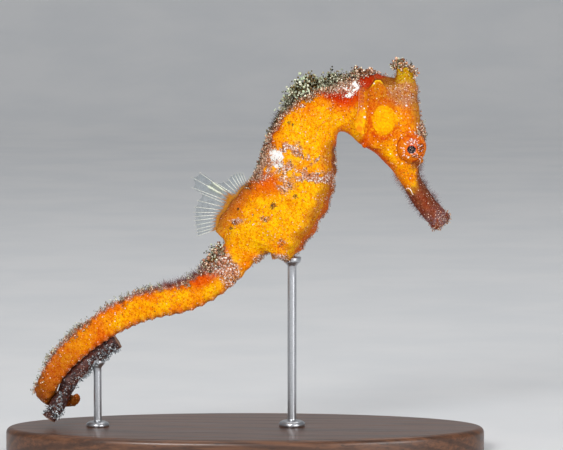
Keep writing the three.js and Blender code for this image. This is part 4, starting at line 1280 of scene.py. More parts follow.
def scatter_tree():
    """Sets tufts on a surface: "cover" says how thickly, and "lift" how tall they stand, in millimetres."""
    kinds = {"Surface": "Geometry", "Tufts": "Collection", "Finish": "Material"}
    kinds |= {"Per Square": "Float", "Smallest": "Float", "Lean": "Float", "Seed": "Int"}
    g, given = open_tree("scatter_tufts", kinds)

    def chance(kind, low, high, more):
        inputs = {"Min": low, "Max": high, "Seed": given.of("Seed") + more}
        return g.node("FunctionNodeRandomValue", {"data_type": kind}, inputs, "Value")

    density = noted_input(g, "cover") * given.of("Per Square")
    inputs = {"Mesh": given.of("Surface"), "Density": density, "Seed": given.of("Seed")}
    points = g.node("GeometryNodeDistributePointsOnFaces", {"distribute_method": "RANDOM"}, inputs, "Points")
    inputs = {"Geometry": points, "Name": "shade", "Value": chance("FLOAT", 0.0, 1.0, 1)}
    shaded = g.node("GeometryNodeStoreNamedAttribute", {"data_type": "FLOAT", "domain": "POINT"}, inputs)
    sway = [chance("FLOAT", -1.0, 1.0, k) * given.of("Lean") for k in (2, 3)]
    tilt = g.xyz(*sway, chance("FLOAT", 0.0, 2 * math.pi, 4))
    turn = g.node("FunctionNodeEulerToRotation", None, {0: tilt})
    inputs = {"Rotation": points.of("Rotation"), "Rotate By": turn}
    turned = g.node("FunctionNodeRotateRotation", {"rotation_space": "LOCAL"}, inputs)
    tufts = {"Collection": given.of("Tufts"), "Separate Children": True, "Reset Children": True}
    inputs = {
        "Points": shaded,
        "Instance": g.node("GeometryNodeCollectionInfo", None, tufts),
        "Pick Instance": True,
        "Rotation": turned,
        "Scale": noted_input(g, "lift") * chance("FLOAT", given.of("Smallest"), 1.0, 5),
    }
    planted = g.node("GeometryNodeInstanceOnPoints", None, inputs)
    real = g.node("GeometryNodeRealizeInstances", None, {"Geometry": planted})
    leaf = g.vector("SCALE", noted_input(g, "leaf", "FLOAT_VECTOR"), Scale=PATCH)
    spot = g.vector("ADD", noted_input(g, "place", "FLOAT_VECTOR"), leaf)
    inputs = {"Geometry": real, "Name": "OFBake", "Value": spot}
    mapped = g.node("GeometryNodeStoreNamedAttribute", {"data_type": "FLOAT2", "domain": "CORNER"}, inputs)
    return close_tree(g, mapped, given.of("Finish"))


class Gardener:
    """Plants tufts on a mesh in millimetres, and hands over each planting as a piece in metres."""

    def __init__(self, mesh):
        self.host = put("growth_host", mesh.copy())

    def plant(self, name, coat, kind, cover, lift, per_square, seed, smallest=0.5, lean_most=0.5):
        """cover is from 0 to 1 and per_square counts tufts for each square millimetre where it is 1."""
        note(self.host.data, "cover", np.clip(cover, 0, 1))
        note(self.host.data, "lift", lift)
        values = {"Tufts": TUFTS[kind], "Per Square": float(per_square), "Smallest": smallest}
        values |= {"Lean": lean_most, "Seed": seed, "Finish": COATS[coat]}
        mesh = through(self.host, SCATTER, values)
        mesh.name = name
        for spare in ("cover", "lift", "leaf", "specks", "silt", "place"):
            if spare in mesh.attributes:
                mesh.attributes.remove(mesh.attributes[spare])
        finish_piece(name, mesh, "skin")

    def leave(self):
        bpy.data.objects.remove(self.host)


def growth_finish(name, stem, grains, keep, clear=0.0):
    """Growth whose stalks are dark at the foot and whose grains go through a row of colours.

    keep is how much of the skin's colour the foot of it takes, and clear how see-through the tips are.
    """
    f = Finish(name, specular_ior_level=0.08)
    shade, rise, tint = f.noted("shade"), f.noted("rise"), f.noted("tint")
    stops = [(k / (len(grains) - 1), colour) for k, colour in enumerate(grains)]
    grain_colour = f.stops(tint * 0.95 + shade * 0.15 - 0.06, stops)
    f.colour = f.mix(f.mix(stem[0], stem[1], rise.ramp(0.0, 0.9)), grain_colour, tint.ramp(0.0, 0.08))
    f.tint(shade.ramp(0.0, 1.0, 0.5, 1.4) * f.noise(0.3, 2).between(0.75, 1.25))
    f.lay(f.noted("tone", "Color"), keep * rise.ramp(0.6, 0.0))
    rough = shade.ramp(0.0, 1.0, 0.6, 0.9)
    if clear:
        return f.use(roughness=rough, alpha=rise.ramp(0.0, 1.0, 0.9, 1 - clear))
    return f.use(roughness=rough)


def grit_finish():
    """Grains of sand and shell: some white, most tan or pinkish, a few dark."""
    f = Finish("silt_grains", specular_ior_level=0.2)
    stops = [
        (0.0, paint(78, 44, 34)),
        (0.2, paint(150, 88, 60)),
        (0.4, paint(206, 140, 112)),
        (0.62, paint(230, 186, 164)),
        (0.8, paint(252, 246, 238)),
    ]
    f.colour = f.stops(f.noted("shade"), stops)
    f.tint(f.noise(0.25, 2).between(0.8, 1.15))
    return f.use(roughness=f.noise(0.4, 2).between(0.4, 0.75))


def chalk_finish():
    """The chalky white of the crust and the worm's tubes."""
    f = Finish("chalky_crust", specular_ior_level=0.3)
    f.colour = f.mix(paint(255, 253, 248), paint(236, 214, 200), f.noise(0.35, 3).ramp(0.55, 0.7))
    return f.use(roughness=f.noise(0.3, 2).between(0.6, 0.85))


# How tall the growth along the back is, by place along the axis from the neck to the fin.
BACK_GROWTH = smooth_through(
    np.array([30.4, 31.2, 32.2, 34.0, 36.0, 38.0, 40.0, 41.6, 42.6, 44.2, 46.0, 50.0, 54.0, 58.0, 60.0]),
    np.array([1.5, 3.0, 2.9, 3.7, 4.1, 4.2, 4.5, 3.5, 2.0, 3.0, 2.0, 1.7, 1.5, 0.9, 0.5]),
)


def growth_kinds():
    """The tufts and finishes of what grows on the animal and on its stem."""
    rng = np.random.default_rng(7)
    tufts = {
        "tall": tuft_set("tall_sprigs", [sprig(rng, 8, 0.07) for _ in range(10)]),
        "short": tuft_set("short_sprigs", [sprig(rng, 4, 0.17) for _ in range(10)]),
        "fuzz": tuft_set("hair_tufts", [hairs(rng, 4) for _ in range(8)]),
        "grains": tuft_set("grains", [pebble(rng) for _ in range(8)]),
    }
    dark, olive, tan = paint(36, 34, 20), paint(106, 92, 40), paint(186, 130, 76)
    pink, ivory, ash = paint(220, 156, 124), paint(255, 250, 226), paint(176, 190, 160)
    umber, ochre, plum = paint(84, 44, 32), paint(176, 110, 40), (paint(120, 58, 50), paint(168, 124, 132))
    moss, black = (paint(58, 36, 34), paint(104, 84, 84)), (paint(30, 16, 12), paint(72, 46, 40))
    rosy = (umber, paint(130, 78, 58), tan, pink, ivory)
    pearly = (paint(60, 52, 58), paint(120, 118, 122), paint(168, 180, 186), paint(226, 232, 234))
    finishes = {
        "green": growth_finish("sprigs_green", (dark, olive), (dark, dark, olive, tan, ash, ivory), 0.25),
        "rose": growth_finish("sprigs_rose", (umber, tan), rosy, 0.4),
        "under": growth_finish("growth_undercoat", moss, (dark, olive), 0.2),
        "foot": growth_finish("sprigs_ochre", (umber, tan), (umber, ochre, pink, ivory), 0.5),
        "haze": growth_finish("hair_plum", plum, (dark, olive), 0.6, 0.85),
        "grit": grit_finish(),
        "dark": growth_finish("dark_grains", (dark, dark), black, 0.0),
        "chalk": chalk_finish(),
        "pale": growth_finish("sprigs_pale", (paint(54, 34, 32), paint(96, 88, 92)), pearly, 0.3),
    }
    return tufts, finishes


WORM_PATHS = [  # x and z of a chalky worm's tracks on the right of the nape, and of pale threads on the snout
    [(21.4, 74.9), (21.9, 74.4), (21.9, 73.9), (22.5, 73.2), (22.2, 72.6), (21.7, 72.5), (21.3, 71.9)],
    [(19.9, 71.5), (20.4, 71.2), (20.9, 71.6), (21.4, 71.5)],
    [(22.4, 73.1), (21.8, 73.3), (21.4, 74.0)],
    [(20.2, 72.5), (20.2, 73.1), (20.6, 73.7), (21.1, 73.8), (21.1, 73.1), (20.7, 72.5), (20.2, 72.5)],
    [(18.0, 73.5), (18.6, 72.9), (19.2, 73.2), (20.1, 72.6)],
    [(18.6, 74.2), (19.4, 73.6), (20.2, 73.9), (20.8, 74.6)],
    [(20.7, 72.0), (20.9, 71.6), (20.6, 70.9)],
    [(32.1, 52.7), (32.5, 53.0), (33.0, 52.7), (33.5, 51.7)],
    [(34.6, 58.9), (35.0, 58.5), (34.9, 57.8), (34.4, 57.1)],
]
WORM_RADII = (0.27, 0.32, 0.2, 0.15, 0.11, 0.1, 0.3, 0.07, 0.07)
WARTS = [  # x, z and radius of the small round warts of the right side
    (23.8, 67.1, 0.3), (32.1, 69.4, 0.28), (25.7, 73.8, 0.2), (25.3, 67.9, 0.14), (26.2, 70.8, 0.12),
    (24.5, 70.6, 0.12), (23.1, 69.2, 0.14), (23.7, 68.8, 0.18), (24.4, 69.2, 0.13), (28.3, 72.9, 0.12),
    (30.1, 68.2, 0.13), (29.6, 62.6, 0.13), (31.0, 65.4, 0.12), (26.4, 62.2, 0.13), (31.1, 63.5, 0.16),
    (31.2, 63.0, 0.14), (30.1, 61.5, 0.16), (30.2, 59.6, 0.2), (29.0, 59.8, 0.15), (31.3, 57.9, 0.17),
    (30.1, 60.5, 0.11), (32.9, 64.2, 0.19), (33.2, 63.4, 0.14), (32.7, 64.9, 0.15), (34.3, 65.9, 0.15),
    (12.4, 62.2, 0.2), (14.6, 58.6, 0.14), (5.4, 47.6, 0.16), (9.9, 44.2, 0.14), (1.8, 45.8, 0.16),
]


# Where the skin's growth lies: 1 where it is full, falling to 0 round it.


def on_nape(m):
    return m.patch(18.5, 72.6, 4.6, 1.9) * (m.a > 12)


def on_tail_back(m):
    return window(m.s, 78, 122, 3) * ramp(m.a, 64, 40) * m.patchy(2.4, 43, -0.3, 0.25)


def on_snout(m):
    return ramp(m.s, 14.5, 12) * (0.3 + 0.7 * np.maximum(bell(m.a, 50), bell(m.a - 180, 50)))


def grow_on_back(bed, m):
    """Tall and short sprigs along the neck and the trunk, with hair under them."""
    ragged = 0.76 + 0.55 * lumps(m.p, 1.6, 41) + 0.35 * lumps(m.p, 0.8, 46)
    thick = BACK_GROWTH(m.s) * np.clip(ragged, 0.3, 1.4)
    slope = ramp(m.a, 32, 8)
    hump = window(m.s, 30.9, 43.2, 0.3) * ramp(m.a + 7 * m.uneven, 27, 13)
    gaps = m.patchy(0.8, 49, -0.7, 0.0)
    tallest = thick * (0.3 + 0.7 * slope)
    bed.plant("growth_back_tall", "green", "tall", hump * gaps * ramp(m.s, 30.6, 34.5), tallest, 13, 51)
    crest = window(m.s, 31, 59.5, 0.8) * ramp(m.a + 7 * m.uneven, 26, 12) * (1 - 0.6 * window(m.s, 44, 60, 2))
    low = 0.8 * thick ** 0.5 * (0.5 + 0.5 * slope)
    bed.plant("growth_back_short", "green", "short", crest * m.patchy(0.9, 42, -0.5, 0.3), low, 8, 52)
    foot = window(m.s, 30.5, 57, 0.8) * window(m.a + 7 * m.uneven, 15, 32, 5) * m.patchy(0.7, 50, -0.8, 0.0)
    bed.plant("growth_back_foot", "foot", "short", foot, 0.5 + 0.1 * thick, 22, 64)
    under = (0.3 + 0.55 * thick) * (0.5 + 0.5 * slope)
    bed.plant("growth_back_hair", "under", "fuzz", crest, under, 16, 53)


def grow_in_clumps(bed, m):
    """Clumps on the coronet, the brow and the nape, behind the back fin and along the tail."""
    root = m.patch(-7.0, 39.4, 3.7, 2.5) * ramp(m.a, 96, 56)
    tail_back = on_tail_back(m)
    coronet = ramp(m.z + 0.35 * (m.x - 31.75), 75.9, 76.7) * ramp(np.abs(m.x - 32.0), 0.1, 0.9)
    brow = m.patch(35.4, 64.5, 1.4, 1.5) * ramp(m.a, 76, 50)
    ragged = m.patchy(1.3, 47, -0.35, 0.1)
    top = np.clip(1.25 - 0.35 * lumps(m.p, 0.9, 35), 0, 1.5) * coronet
    crest_bits = 0.25 * window(m.s, 17.5, 30.5, 0.8) * ramp(m.a, 14, 5) * (m.z < 76.6)
    nape_clump = m.patch(22.4, 76.4, 1.1, 1.4) * ramp(m.a, 40, 20)
    nape_top = window(m.s, 29.0, 33.5, 0.8) * ramp(m.a, 26, 10)
    past_fin = ramp(m.s, 71.2, 72.2)
    clumps = 0.8 * top + brow + nape_clump + 0.7 * nape_top + crest_bits
    clumps = clumps + (0.8 * root + 0.5 * tail_back + 0.35 * on_nape(m)) * ragged
    tall_here = 0.6 + 0.75 * coronet * (1 + 0.5 * (m.x < 31)) + 0.2 * brow + 0.5 * nape_clump
    tall_here = tall_here + 0.9 * nape_top + 1.1 * root * past_fin + 0.25 * tail_back
    bed.plant("growth_clumps", "rose", "short", clumps, tall_here, 10, 55)
    greens = coronet * (0.1 + 0.6 * (m.x < 31.4)) + 0.1 * brow + 0.15 * root * past_fin
    greens = greens + 0.2 * tail_back + 0.1 * nape_clump
    tall_here = 1.5 + 1.2 * root + 0.3 * coronet - 0.2 * brow
    bed.plant("growth_root_tall", "green", "tall", greens, tall_here, 10, 54)
    debris = (root + 2 * brow) * m.patchy(0.9, 36, -0.5, 0.1)
    bed.plant("root_debris", "grit", "grains", debris, 0.9 + 0.4 * root, 6, 65, 0.4, 1.2)


def grow_short_coat(bed, m):
    """Short pink growth, and fine hair on the snout, the face, the belly's edge and the tail."""
    belly_edge = ramp(m.a + 5 * m.uneven, 150, 164) * window(m.s, 40, 67, 1.5) * m.patchy(1.6, 44, -0.5, 0.2)
    vent = m.patch(6.0, 38.6, 4.0, 1.2)
    snout_end = ramp(m.s, 2.6, 0.6)
    base = window(m.s, 34, 58, 2) * ramp(m.a + 5 * m.uneven, 30, 16) * m.patchy(1.0, 48, -0.4, 0.2)
    base = base * (0.4 + 0.4 * (m.s > 43))
    pink = 0.5 * belly_edge + 0.6 * vent + 0.5 * snout_end + 0.2 * on_tail_back(m) + 0.5 * on_nape(m) + base
    bed.plant("growth_rose", "rose", "short", pink, 0.55 + 0.5 * base, 9, 56)

    face = 0.5 * window(m.s, 12, 24, 1) * ramp(m.a, 34, 14)
    tail_fuzz = 0.6 * window(m.s, 74, 100, 5) * ramp(m.a, 66, 40)
    hairy = 0.8 * on_snout(m) + face + tail_fuzz + 0.45 * belly_edge
    long_here = 0.6 + 0.9 * ramp(m.s, 16, 13) * ramp(m.s, 2, 5) * ramp(np.abs(m.a - 90), 40, 80)
    long_here = long_here + 1.5 * window(m.s, 78, 92, 2) * ramp(m.a, 60, 30)
    bed.plant("growth_hair", "haze", "fuzz", hairy, long_here, 6, 57)


def lay_grains(bed, m):
    """Silt, stray grains, dark specks and the grains of the white crust."""
    right = m.y < 0
    silt = silt_on(m)
    bed.plant("silt_grains", "grit", "grains", silt ** 1.2, 0.27 + 0.2 * silt, 22, 58, 0.35, 0.7)
    stray = 0.16 + 0.4 * ramp(m.s, 12, 2) + 0.5 * ramp(m.s, 3.6, 1.6) + 0.6 * m.patch(34.4, 62.8, 2.4, 2.6)
    stray = stray - 0.1 * m.patch(27.4, 67.0, 3.4, 4.6) - 0.08 * ramp(m.s, 66, 72)
    stray += 0.7 * on_snout(m) * bell(m.a - 30, 22) + 0.5 * window(m.s, 84, 122, 3) * bell(m.a - 138, 12)
    stray = np.where(m.eye < 2.5, 0, stray)
    bed.plant("stray_grains", "grit", "grains", stray, 0.2 + 0 * m.s, 6, 59, 0.45, 0.7)
    spots = sum(m.patch(x, z, 1.2 * size, 1.2 * size, 0.4, 0.3) for x, z, size in SPOTS) * right
    bed.plant("dark_grains", "dark", "grains", spots, 0.3 + 0 * m.s, 30, 63, 0.5, 0.7)
    daub = np.max([m.patch(*middle, 1.15 * wide, 1.15 * high, 0.15) for middle, wide, high in DAUB], axis=0)
    white = (0.35 * daub + 0.5 * m.near_path(WORM_PATHS[0], 0.5)) * right
    bed.plant("chalky_crust", "chalk", "grains", white, 0.34 + 0 * m.s, 30, 60, 0.5, 0.4)


def grow_on_body(mesh, m):
    """Everything that grows or lies on the skin."""
    bed = Gardener(mesh)
    grow_on_back(bed, m)
    grow_in_clumps(bed, m)
    grow_short_coat(bed, m)
    lay_grains(bed, m)
    bed.leave()


FAR = 20.0  # this far to the side is well outside the animal


def on_side(body, x, z):
    """The place on the right side of a surface whose markings have that x and z."""
    hit = body.ray_cast(Vector((x, -FAR, z + FAR * SLANT)), Vector((0, 1, -SLANT)).normalized())[0]
    return np.array(hit or body.find_nearest(Vector((x, -3.0, z)))[0])


def make_worm_tracks(body):
    """Thin white tubes and small warts on the right side of the skin."""
    paths, radii, share = [], [], np.linspace(0, 1, 24)
    for corners, radius in zip(WORM_PATHS, WORM_RADII):
        corners = np.array(corners)
        steps = np.linspace(0, 1, len(corners))
        x, z = (smooth_through(steps, column)(share) for column in corners.T)
        paths.append([on_side(body, a, b) - ACROSS * 0.3 * radius for a, b in zip(x, z)])
        knots = 0.6 + 0.6 * np.sin(share * 11 + radius * 40) ** 2 + 0.2 * np.sin(share * 37 + radius * 90)
        radii.append(radius * knots * ramp(1 - np.abs(2 * share - 1), -0.3, 0.25))
    show_strands("worm_tracks", paths, radii, COATS["chalk"], "skin", 8)
    shapes = [ball(on_side(body, x, z), (0.85 * r, 0.7 * r, 0.8 * r), 0, 8, 12) for x, z, r in WARTS]
    show("skin_warts", joined(shapes), wart_finish(), "skin")


def wart_finish():
    """Pale warts, a little pink."""
    f = Finish("skin_warts", specular_ior_level=0.2)
    fine = f.noise(0.2, 3)
    f.colour = f.mix(paint(240, 206, 190), paint(255, 250, 244), fine.ramp(0.35, 0.55))
    return f.use(roughness=fine.between(0.4, 0.6))


# ---- The fins ----

DORSAL = {"from": 58.6, "to": 70.5, "rays": 21, "wave": 1.0}
DORSAL_EDGE = [  # share of the way from the front ray to the last, then x and z of the free edge
    (0.0, -0.4, 56.0), (0.1, -1.6, 56.1), (0.2, -2.8, 55.6), (0.28, -3.9, 54.5),
    (0.35, -6.0, 54.2), (0.4, -9.1, 56.2), (0.45, -10.7, 55.3), (0.5, -10.6, 53.2),
    (0.55, -8.9, 52.1), (0.6, -9.6, 50.6), (0.68, -10.3, 48.6), (0.78, -10.3, 46.8),
    (0.9, -10.0, 44.6), (1.0, -9.7, 43.3),
]
SIDE_FIN = {"x": 23.9, "low": 64.2, "high": 73.1, "flare": 0.8, "rays": 13}
SIDE_EDGE = smooth_through(  # x of the free edge from the lowest ray to the highest
    np.array([0.0, 0.06, 0.15, 0.3, 0.45, 0.62, 0.8, 0.94, 1.0]),
    np.array([23.3, 22.3, 21.8, 21.9, 22.25, 22.5, 22.55, 22.7, 23.2]),
)
VENT_FIN = {"x": 5.6, "z": 40.7, "root": 1.3, "tip": 1.9, "length": 2.1, "heading": -66, "rays": 5}


def dorsal_point(share, rise):
    """A point of the back fin: share goes from the front ray to the last, rise from the root to the tip."""
    share, rise = np.broadcast_arrays(np.asarray(share, float), np.asarray(rise, float))
    root = surface(DORSAL["from"] + (DORSAL["to"] - DORSAL["from"]) * share, 0.0, -0.25)
    steps, x, z = np.array(DORSAL_EDGE).T
    edge = np.stack([smooth_through(steps, x)(share), 0 * share, smooth_through(steps, z)(share)], axis=-1)
    sway = DORSAL["wave"] * rise**2 * np.sin(2.4 * np.pi * share + 0.6)
    fold = 0.35 * bell(share - 0.36, 0.09) * np.sin(np.pi * rise)
    return root + (edge - root) * rise[..., None] + ACROSS * (sway + fold)[..., None]


def side_point(side, body):
    """A side fin, rooted on the skin."""
    heights = np.linspace(SIDE_FIN["low"], SIDE_FIN["high"], 9)
    roots = [-body.ray_cast(Vector((SIDE_FIN["x"], -FAR, z)), Vector((0, 1, 0)))[0].y for z in heights]

    def place(share, rise):
        share, rise = np.broadcast_arrays(np.asarray(share, float), np.asarray(rise, float))
        z = SIDE_FIN["low"] + (SIDE_FIN["high"] - SIDE_FIN["low"]) * share
        x = SIDE_FIN["x"] + (SIDE_EDGE(share) - SIDE_FIN["x"]) * rise
        flare = SIDE_FIN["flare"] * (0.25 + 0.75 * ramp(share, 0.0, 0.5))
        out = np.interp(z, heights, roots) - 0.15 + flare * rise**1.5 + 0.1 * np.sin(share * 9) * rise
        fan = 0.5 * (share - 0.5) * rise
        return np.stack([x, side * out, z + fan], axis=-1)

    return place


def vent_point(share, rise):
    """A point of the small fin under the vent."""
    share, rise = np.broadcast_arrays(np.asarray(share, float) - 0.5, np.asarray(rise, float))
    way = rising(math.radians(VENT_FIN["heading"]))
    wide = turned_left(way)
    spread = share * (VENT_FIN["root"] + (VENT_FIN["tip"] - VENT_FIN["root"]) * rise)
    reach = VENT_FIN["length"] * (rise * 1.15 - 0.15) * (1 - 0.5 * share**2)
    place = np.array([VENT_FIN["x"], 0, VENT_FIN["z"]]) + way * reach[..., None] + wide * spread[..., None]
    return place + ACROSS * (0.15 * np.sin(share * 7) * rise)[..., None]


def show_web(name, node, place, rays, counts, thickness, finish, reach=0.97, notch=0.06):
    """The thin skin between a fin's rays, a grid of so many points across and out, with a scalloped edge."""
    wide, tall = counts
    share, rise = np.meshgrid(np.linspace(0, 1, wide), np.linspace(0, 1, tall), indexing="ij")
    scallop = notch * np.abs(np.sin(np.pi * share * (rays - 1)))
    grid = place(share, rise * (reach - scallop))
    run, up = np.gradient(grid, axis=0), np.gradient(grid, axis=1)
    normal = unit(np.cross(run, up)) * thickness / 2
    points = np.concatenate([(grid + normal).reshape(-1, 3), (grid - normal).reshape(-1, 3)])
    under, faces = wide * tall, []
    for i in range(wide - 1):
        for j in range(tall - 1):
            a, b, c, d = i * tall + j, (i + 1) * tall + j, (i + 1) * tall + j + 1, i * tall + j + 1
            faces += [[a, b, c, d], [under + a, under + d, under + c, under + b]]
    rim = [i * tall for i in range(wide)] + [(wide - 1) * tall + j for j in range(1, tall)]
    rim += [i * tall + tall - 1 for i in range(wide - 2, -1, -1)] + list(range(tall - 2, 0, -1))
    faces += [[a, under + a, under + b, b] for a, b in zip(rim, rim[1:] + rim[:1])]
    mesh = make_mesh(name, points, faces)
    face_outwards(mesh)
    note(mesh, "share", np.tile(share.ravel(), 2))
    note(mesh, "rise", np.tile(rise.ravel(), 2))
    mesh.materials.append(finish)
    finish_piece(name, mesh, "fin_membrane", node)


def strand_tree():
    """Makes round strands along the edges of a mesh, as thick as its points say, in millimetres."""
    g, given = open_tree("round_strands", {"Lines": "Geometry", "Sides": "Int", "Finish": "Material"})
    lines = g.node("GeometryNodeMeshToCurve", None, {"Mesh": given.of("Lines")})
    inputs = {"Resolution": given.of("Sides"), "Radius": 1.0}
    circle = g.node("GeometryNodeCurvePrimitiveCircle", None, inputs)
    inputs = {"Curve": lines, "Profile Curve": circle, "Scale": noted_input(g, "thick"), "Fill Caps": True}
    tubes = g.node("GeometryNodeCurveToMesh", None, inputs)
    real = g.node("GeometryNodeRealizeInstances", None, {"Geometry": tubes})
    return close_tree(g, real, given.of("Finish"))


def show_strands(name, paths, radii, finish, slot, sides):
    """A piece of round strands along paths."""
    paths = np.asarray(paths)
    count, steps = paths.shape[:2]
    edges = [(k * steps + i, k * steps + i + 1) for k in range(count) for i in range(steps - 1)]
    mesh = bpy.data.meshes.new(name)
    mesh.from_pydata(paths.reshape(-1, 3).tolist(), edges, [])
    note(mesh, "thick", np.asarray(radii).ravel())
    note(mesh, "rise", np.tile(np.linspace(0, 1, steps), count))
    obj = put(name, mesh)
    made = through(obj, STRANDS, {"Sides": sides, "Finish": finish})
    bpy.data.objects.remove(obj)
    made.shade_smooth()
    finish_piece(name, made, slot)


def show_rays(name, place, shares, rise, radius, taper, finish, sides):
    """The rays of a fin at those shares of its width, each thinner towards its tip by the taper."""
    radii = np.tile(radius * (1 - taper * rise), (len(shares), 1))
    show_strands(name, place(shares[:, None], rise[None]), radii, finish, "fin_membrane", sides)


def clear_finish():
    """The nearly clear web of the back fin, cloudy along its root and in its fold."""
    f = Finish("fin_web_clear", specular_ior_level=0.4, ior=1.36)
    share, rise, cloud = f.noted("share"), f.noted("rise"), f.noise(0.9, 4, 0.6)
    fold = share.ramp(0.33, 0.37) * share.ramp(0.5, 0.45)
    fold = fold * (rise + cloud * 0.2).ramp(0.36, 0.46) * rise.ramp(0.7, 0.6)
    stripes = (share * (2 * math.pi * 20) + cloud * 3.0).math("SINE").ramp(-0.2, 0.6)
    root = (rise + cloud * 0.2).ramp(0.36, 0.2)
    f.colour = f.mix(paint(112, 128, 134), f.mix(paint(110, 124, 104), paint(222, 228, 204), stripes), fold)
    f.lay(paint(186, 122, 4), root)
    alpha = cloud.ramp(0.3, 0.75, 0.14, 0.26) + fold * stripes * 0.4 + fold * 0.1 + root * 0.7
    return f.use(alpha=alpha, roughness=cloud.between(0.2, 0.4))


def ray_finish(name, root, tip):
    """Fin rays with fine joints, clearer towards the tip."""
    f = Finish(name, specular_ior_level=0.4)
    rise = f.noted("rise")
    joints = (rise * 60).math("SINE").ramp(-0.2, 0.6)
    f.colour = f.mix(root, tip, rise.ramp(0.16, 0.4))
    f.lay(f.mix(f.colour, paint(110, 80, 56), 0.6), joints * 0.4)
    return f.use(alpha=rise.ramp(0.55, 1.0, 0.95, 0.7), roughness=f.noise(0.4).between(0.35, 0.6))


def fleshy_web_finish():
    """The web of the vent fin: thin orange skin, clearer to the edge."""
    f = Finish("fin_web_orange", specular_ior_level=0.4)
    rise, cloud = f.noted("rise"), f.noise(0.6, 4, 0.6)
    f.colour = f.mix(YELLOW, DEEP, cloud.ramp(0.35, 0.65))
    f.lay(paint(246, 200, 150), rise.ramp(0.86, 0.98) * 0.8)
    return f.use(alpha=rise.ramp(0.3, 0.9, 0.95, 0.7), roughness=cloud.between(0.35, 0.6))


def side_web_finish():
    """The webs of the side fins: yellow below and clearer and pinker above, with a thin pale edge that is a
    painted highlight.
    """
    f = Finish("fin_web_side", specular_ior_level=0.08)
    share, rise, cloud, fine = f.noted("share"), f.noted("rise"), f.noise(0.9, 4, 0.6), f.noise(0.25, 2, 0.7)
    low = f.mix(paint(255, 186, 4), paint(238, 136, 4), cloud.ramp(0.42, 0.62))
    high = f.mix(paint(226, 112, 22), paint(222, 130, 96), fine.ramp(0.48, 0.6))
    f.colour = f.mix(low, high, (share + cloud * 0.4).ramp(0.6, 0.92))
    f.lay(paint(208, 92, 6), fine.ramp(0.42, 0.36) * 0.6)
    # Painted highlight: a thin pale line along the upper part of the free edge
    edge = rise.ramp(0.88, 0.97) * share.ramp(0.3, 0.6)
    f.lay(paint(226, 160, 136), edge * 0.6)
    alpha = (share + cloud * 0.3).ramp(0.5, 0.95, 0.96, 0.4) * rise.ramp(0.99, 0.8, 0.6, 1.0) + edge * 0.3
    return f.use(alpha=alpha, roughness=cloud.between(0.45, 0.6))


def make_fins(body):
    clear, fleshy, side_web = clear_finish(), fleshy_web_finish(), side_web_finish()
    pale_ray = ray_finish("fin_rays_pale", paint(178, 110, 26), paint(238, 240, 228))
    warm_ray = ray_finish("fin_rays_warm", YELLOW, paint(246, 170, 60))
    side_ray = ray_finish("fin_rays_side", paint(240, 140, 8), paint(250, 180, 40))
    rays = np.linspace(0, 1, DORSAL["rays"])
    show_web("back_fin_web", "dorsal_fin", dorsal_point, len(rays), (141, 16), 0.07, clear)
    show_rays("back_fin_rays", dorsal_point, rays, np.linspace(0, 1, 14), 0.1, 0.5, pale_ray, 8)
    rays = np.linspace(0, 1, SIDE_FIN["rays"])
    for side, name in ((-1, "right"), (1, "left")):
        place, node = side_point(side, body), "pectoral_fin_" + name
        show_web("side_fin_web_" + name, node, place, len(rays), (73, 14), 0.05, side_web, 0.99, 0.03)
        show_rays("side_fin_rays_" + name, place, rays, np.linspace(0, 1, 10), 0.045, 0.55, side_ray, 6)
    rays = np.linspace(0.04, 0.96, VENT_FIN["rays"])
    show_web("vent_fin_web", "anal_fin", vent_point, len(rays), (29, 12), 0.14, fleshy, 1.0, 0.05)
    show_rays("vent_fin_rays", vent_point, rays, np.linspace(0, 0.96, 8), 0.11, 0.5, warm_ray, 6)


# ---- The weed stem and the stand ----

NEARER = 0.65  # how much nearer the tail the stem lies than in the solids, so that no gap shows
STEM_SIDES = 40
STEM_ROWS = 150


def stem_place(t):
    """The stem's middle line, t along it from where the tail starts to grip."""

    def plain(u):
        if u < 0:
            return stem_foot + stem_up * u
        at, _, back, _ = frame_at(np.array(GRIP["start"] - u))
        return at - back * (grip_radius(GRIP["start"] - u) - NEARER)

    return sum(plain(t + step) for step in (-1.2, -0.6, 0, 0.6, 1.2)) / 5


def stem_finish():
    """Dark red-brown weed with a chalky bloom, paler where it is cut."""
    f = Finish("weed_skin", specular_ior_level=0.4)
    run = f.noted("run")
    soft, fine = f.noise(0.9, 4, 0.6), f.noise(0.25, 3, 0.6)
    f.colour = f.mix(paint(84, 36, 24), paint(38, 20, 20), soft.ramp(0.35, 0.65))
    f.lay(paint(116, 52, 30), fine.ramp(0.55, 0.72) * 0.5)
    bloom = f.noise(0.5, 4, 0.7).ramp(0.56, 0.64)
    f.lay(paint(168, 168, 170), bloom * 0.55)
    cut = run.ramp(0.985, 0.999) + run.ramp(0.012, 0.001)
    f.lay(paint(150, 110, 82), cut)
    return f.use(roughness=soft.between(0.45, 0.7), normal=f.bump(fine + bloom, 0.5, 0.08))


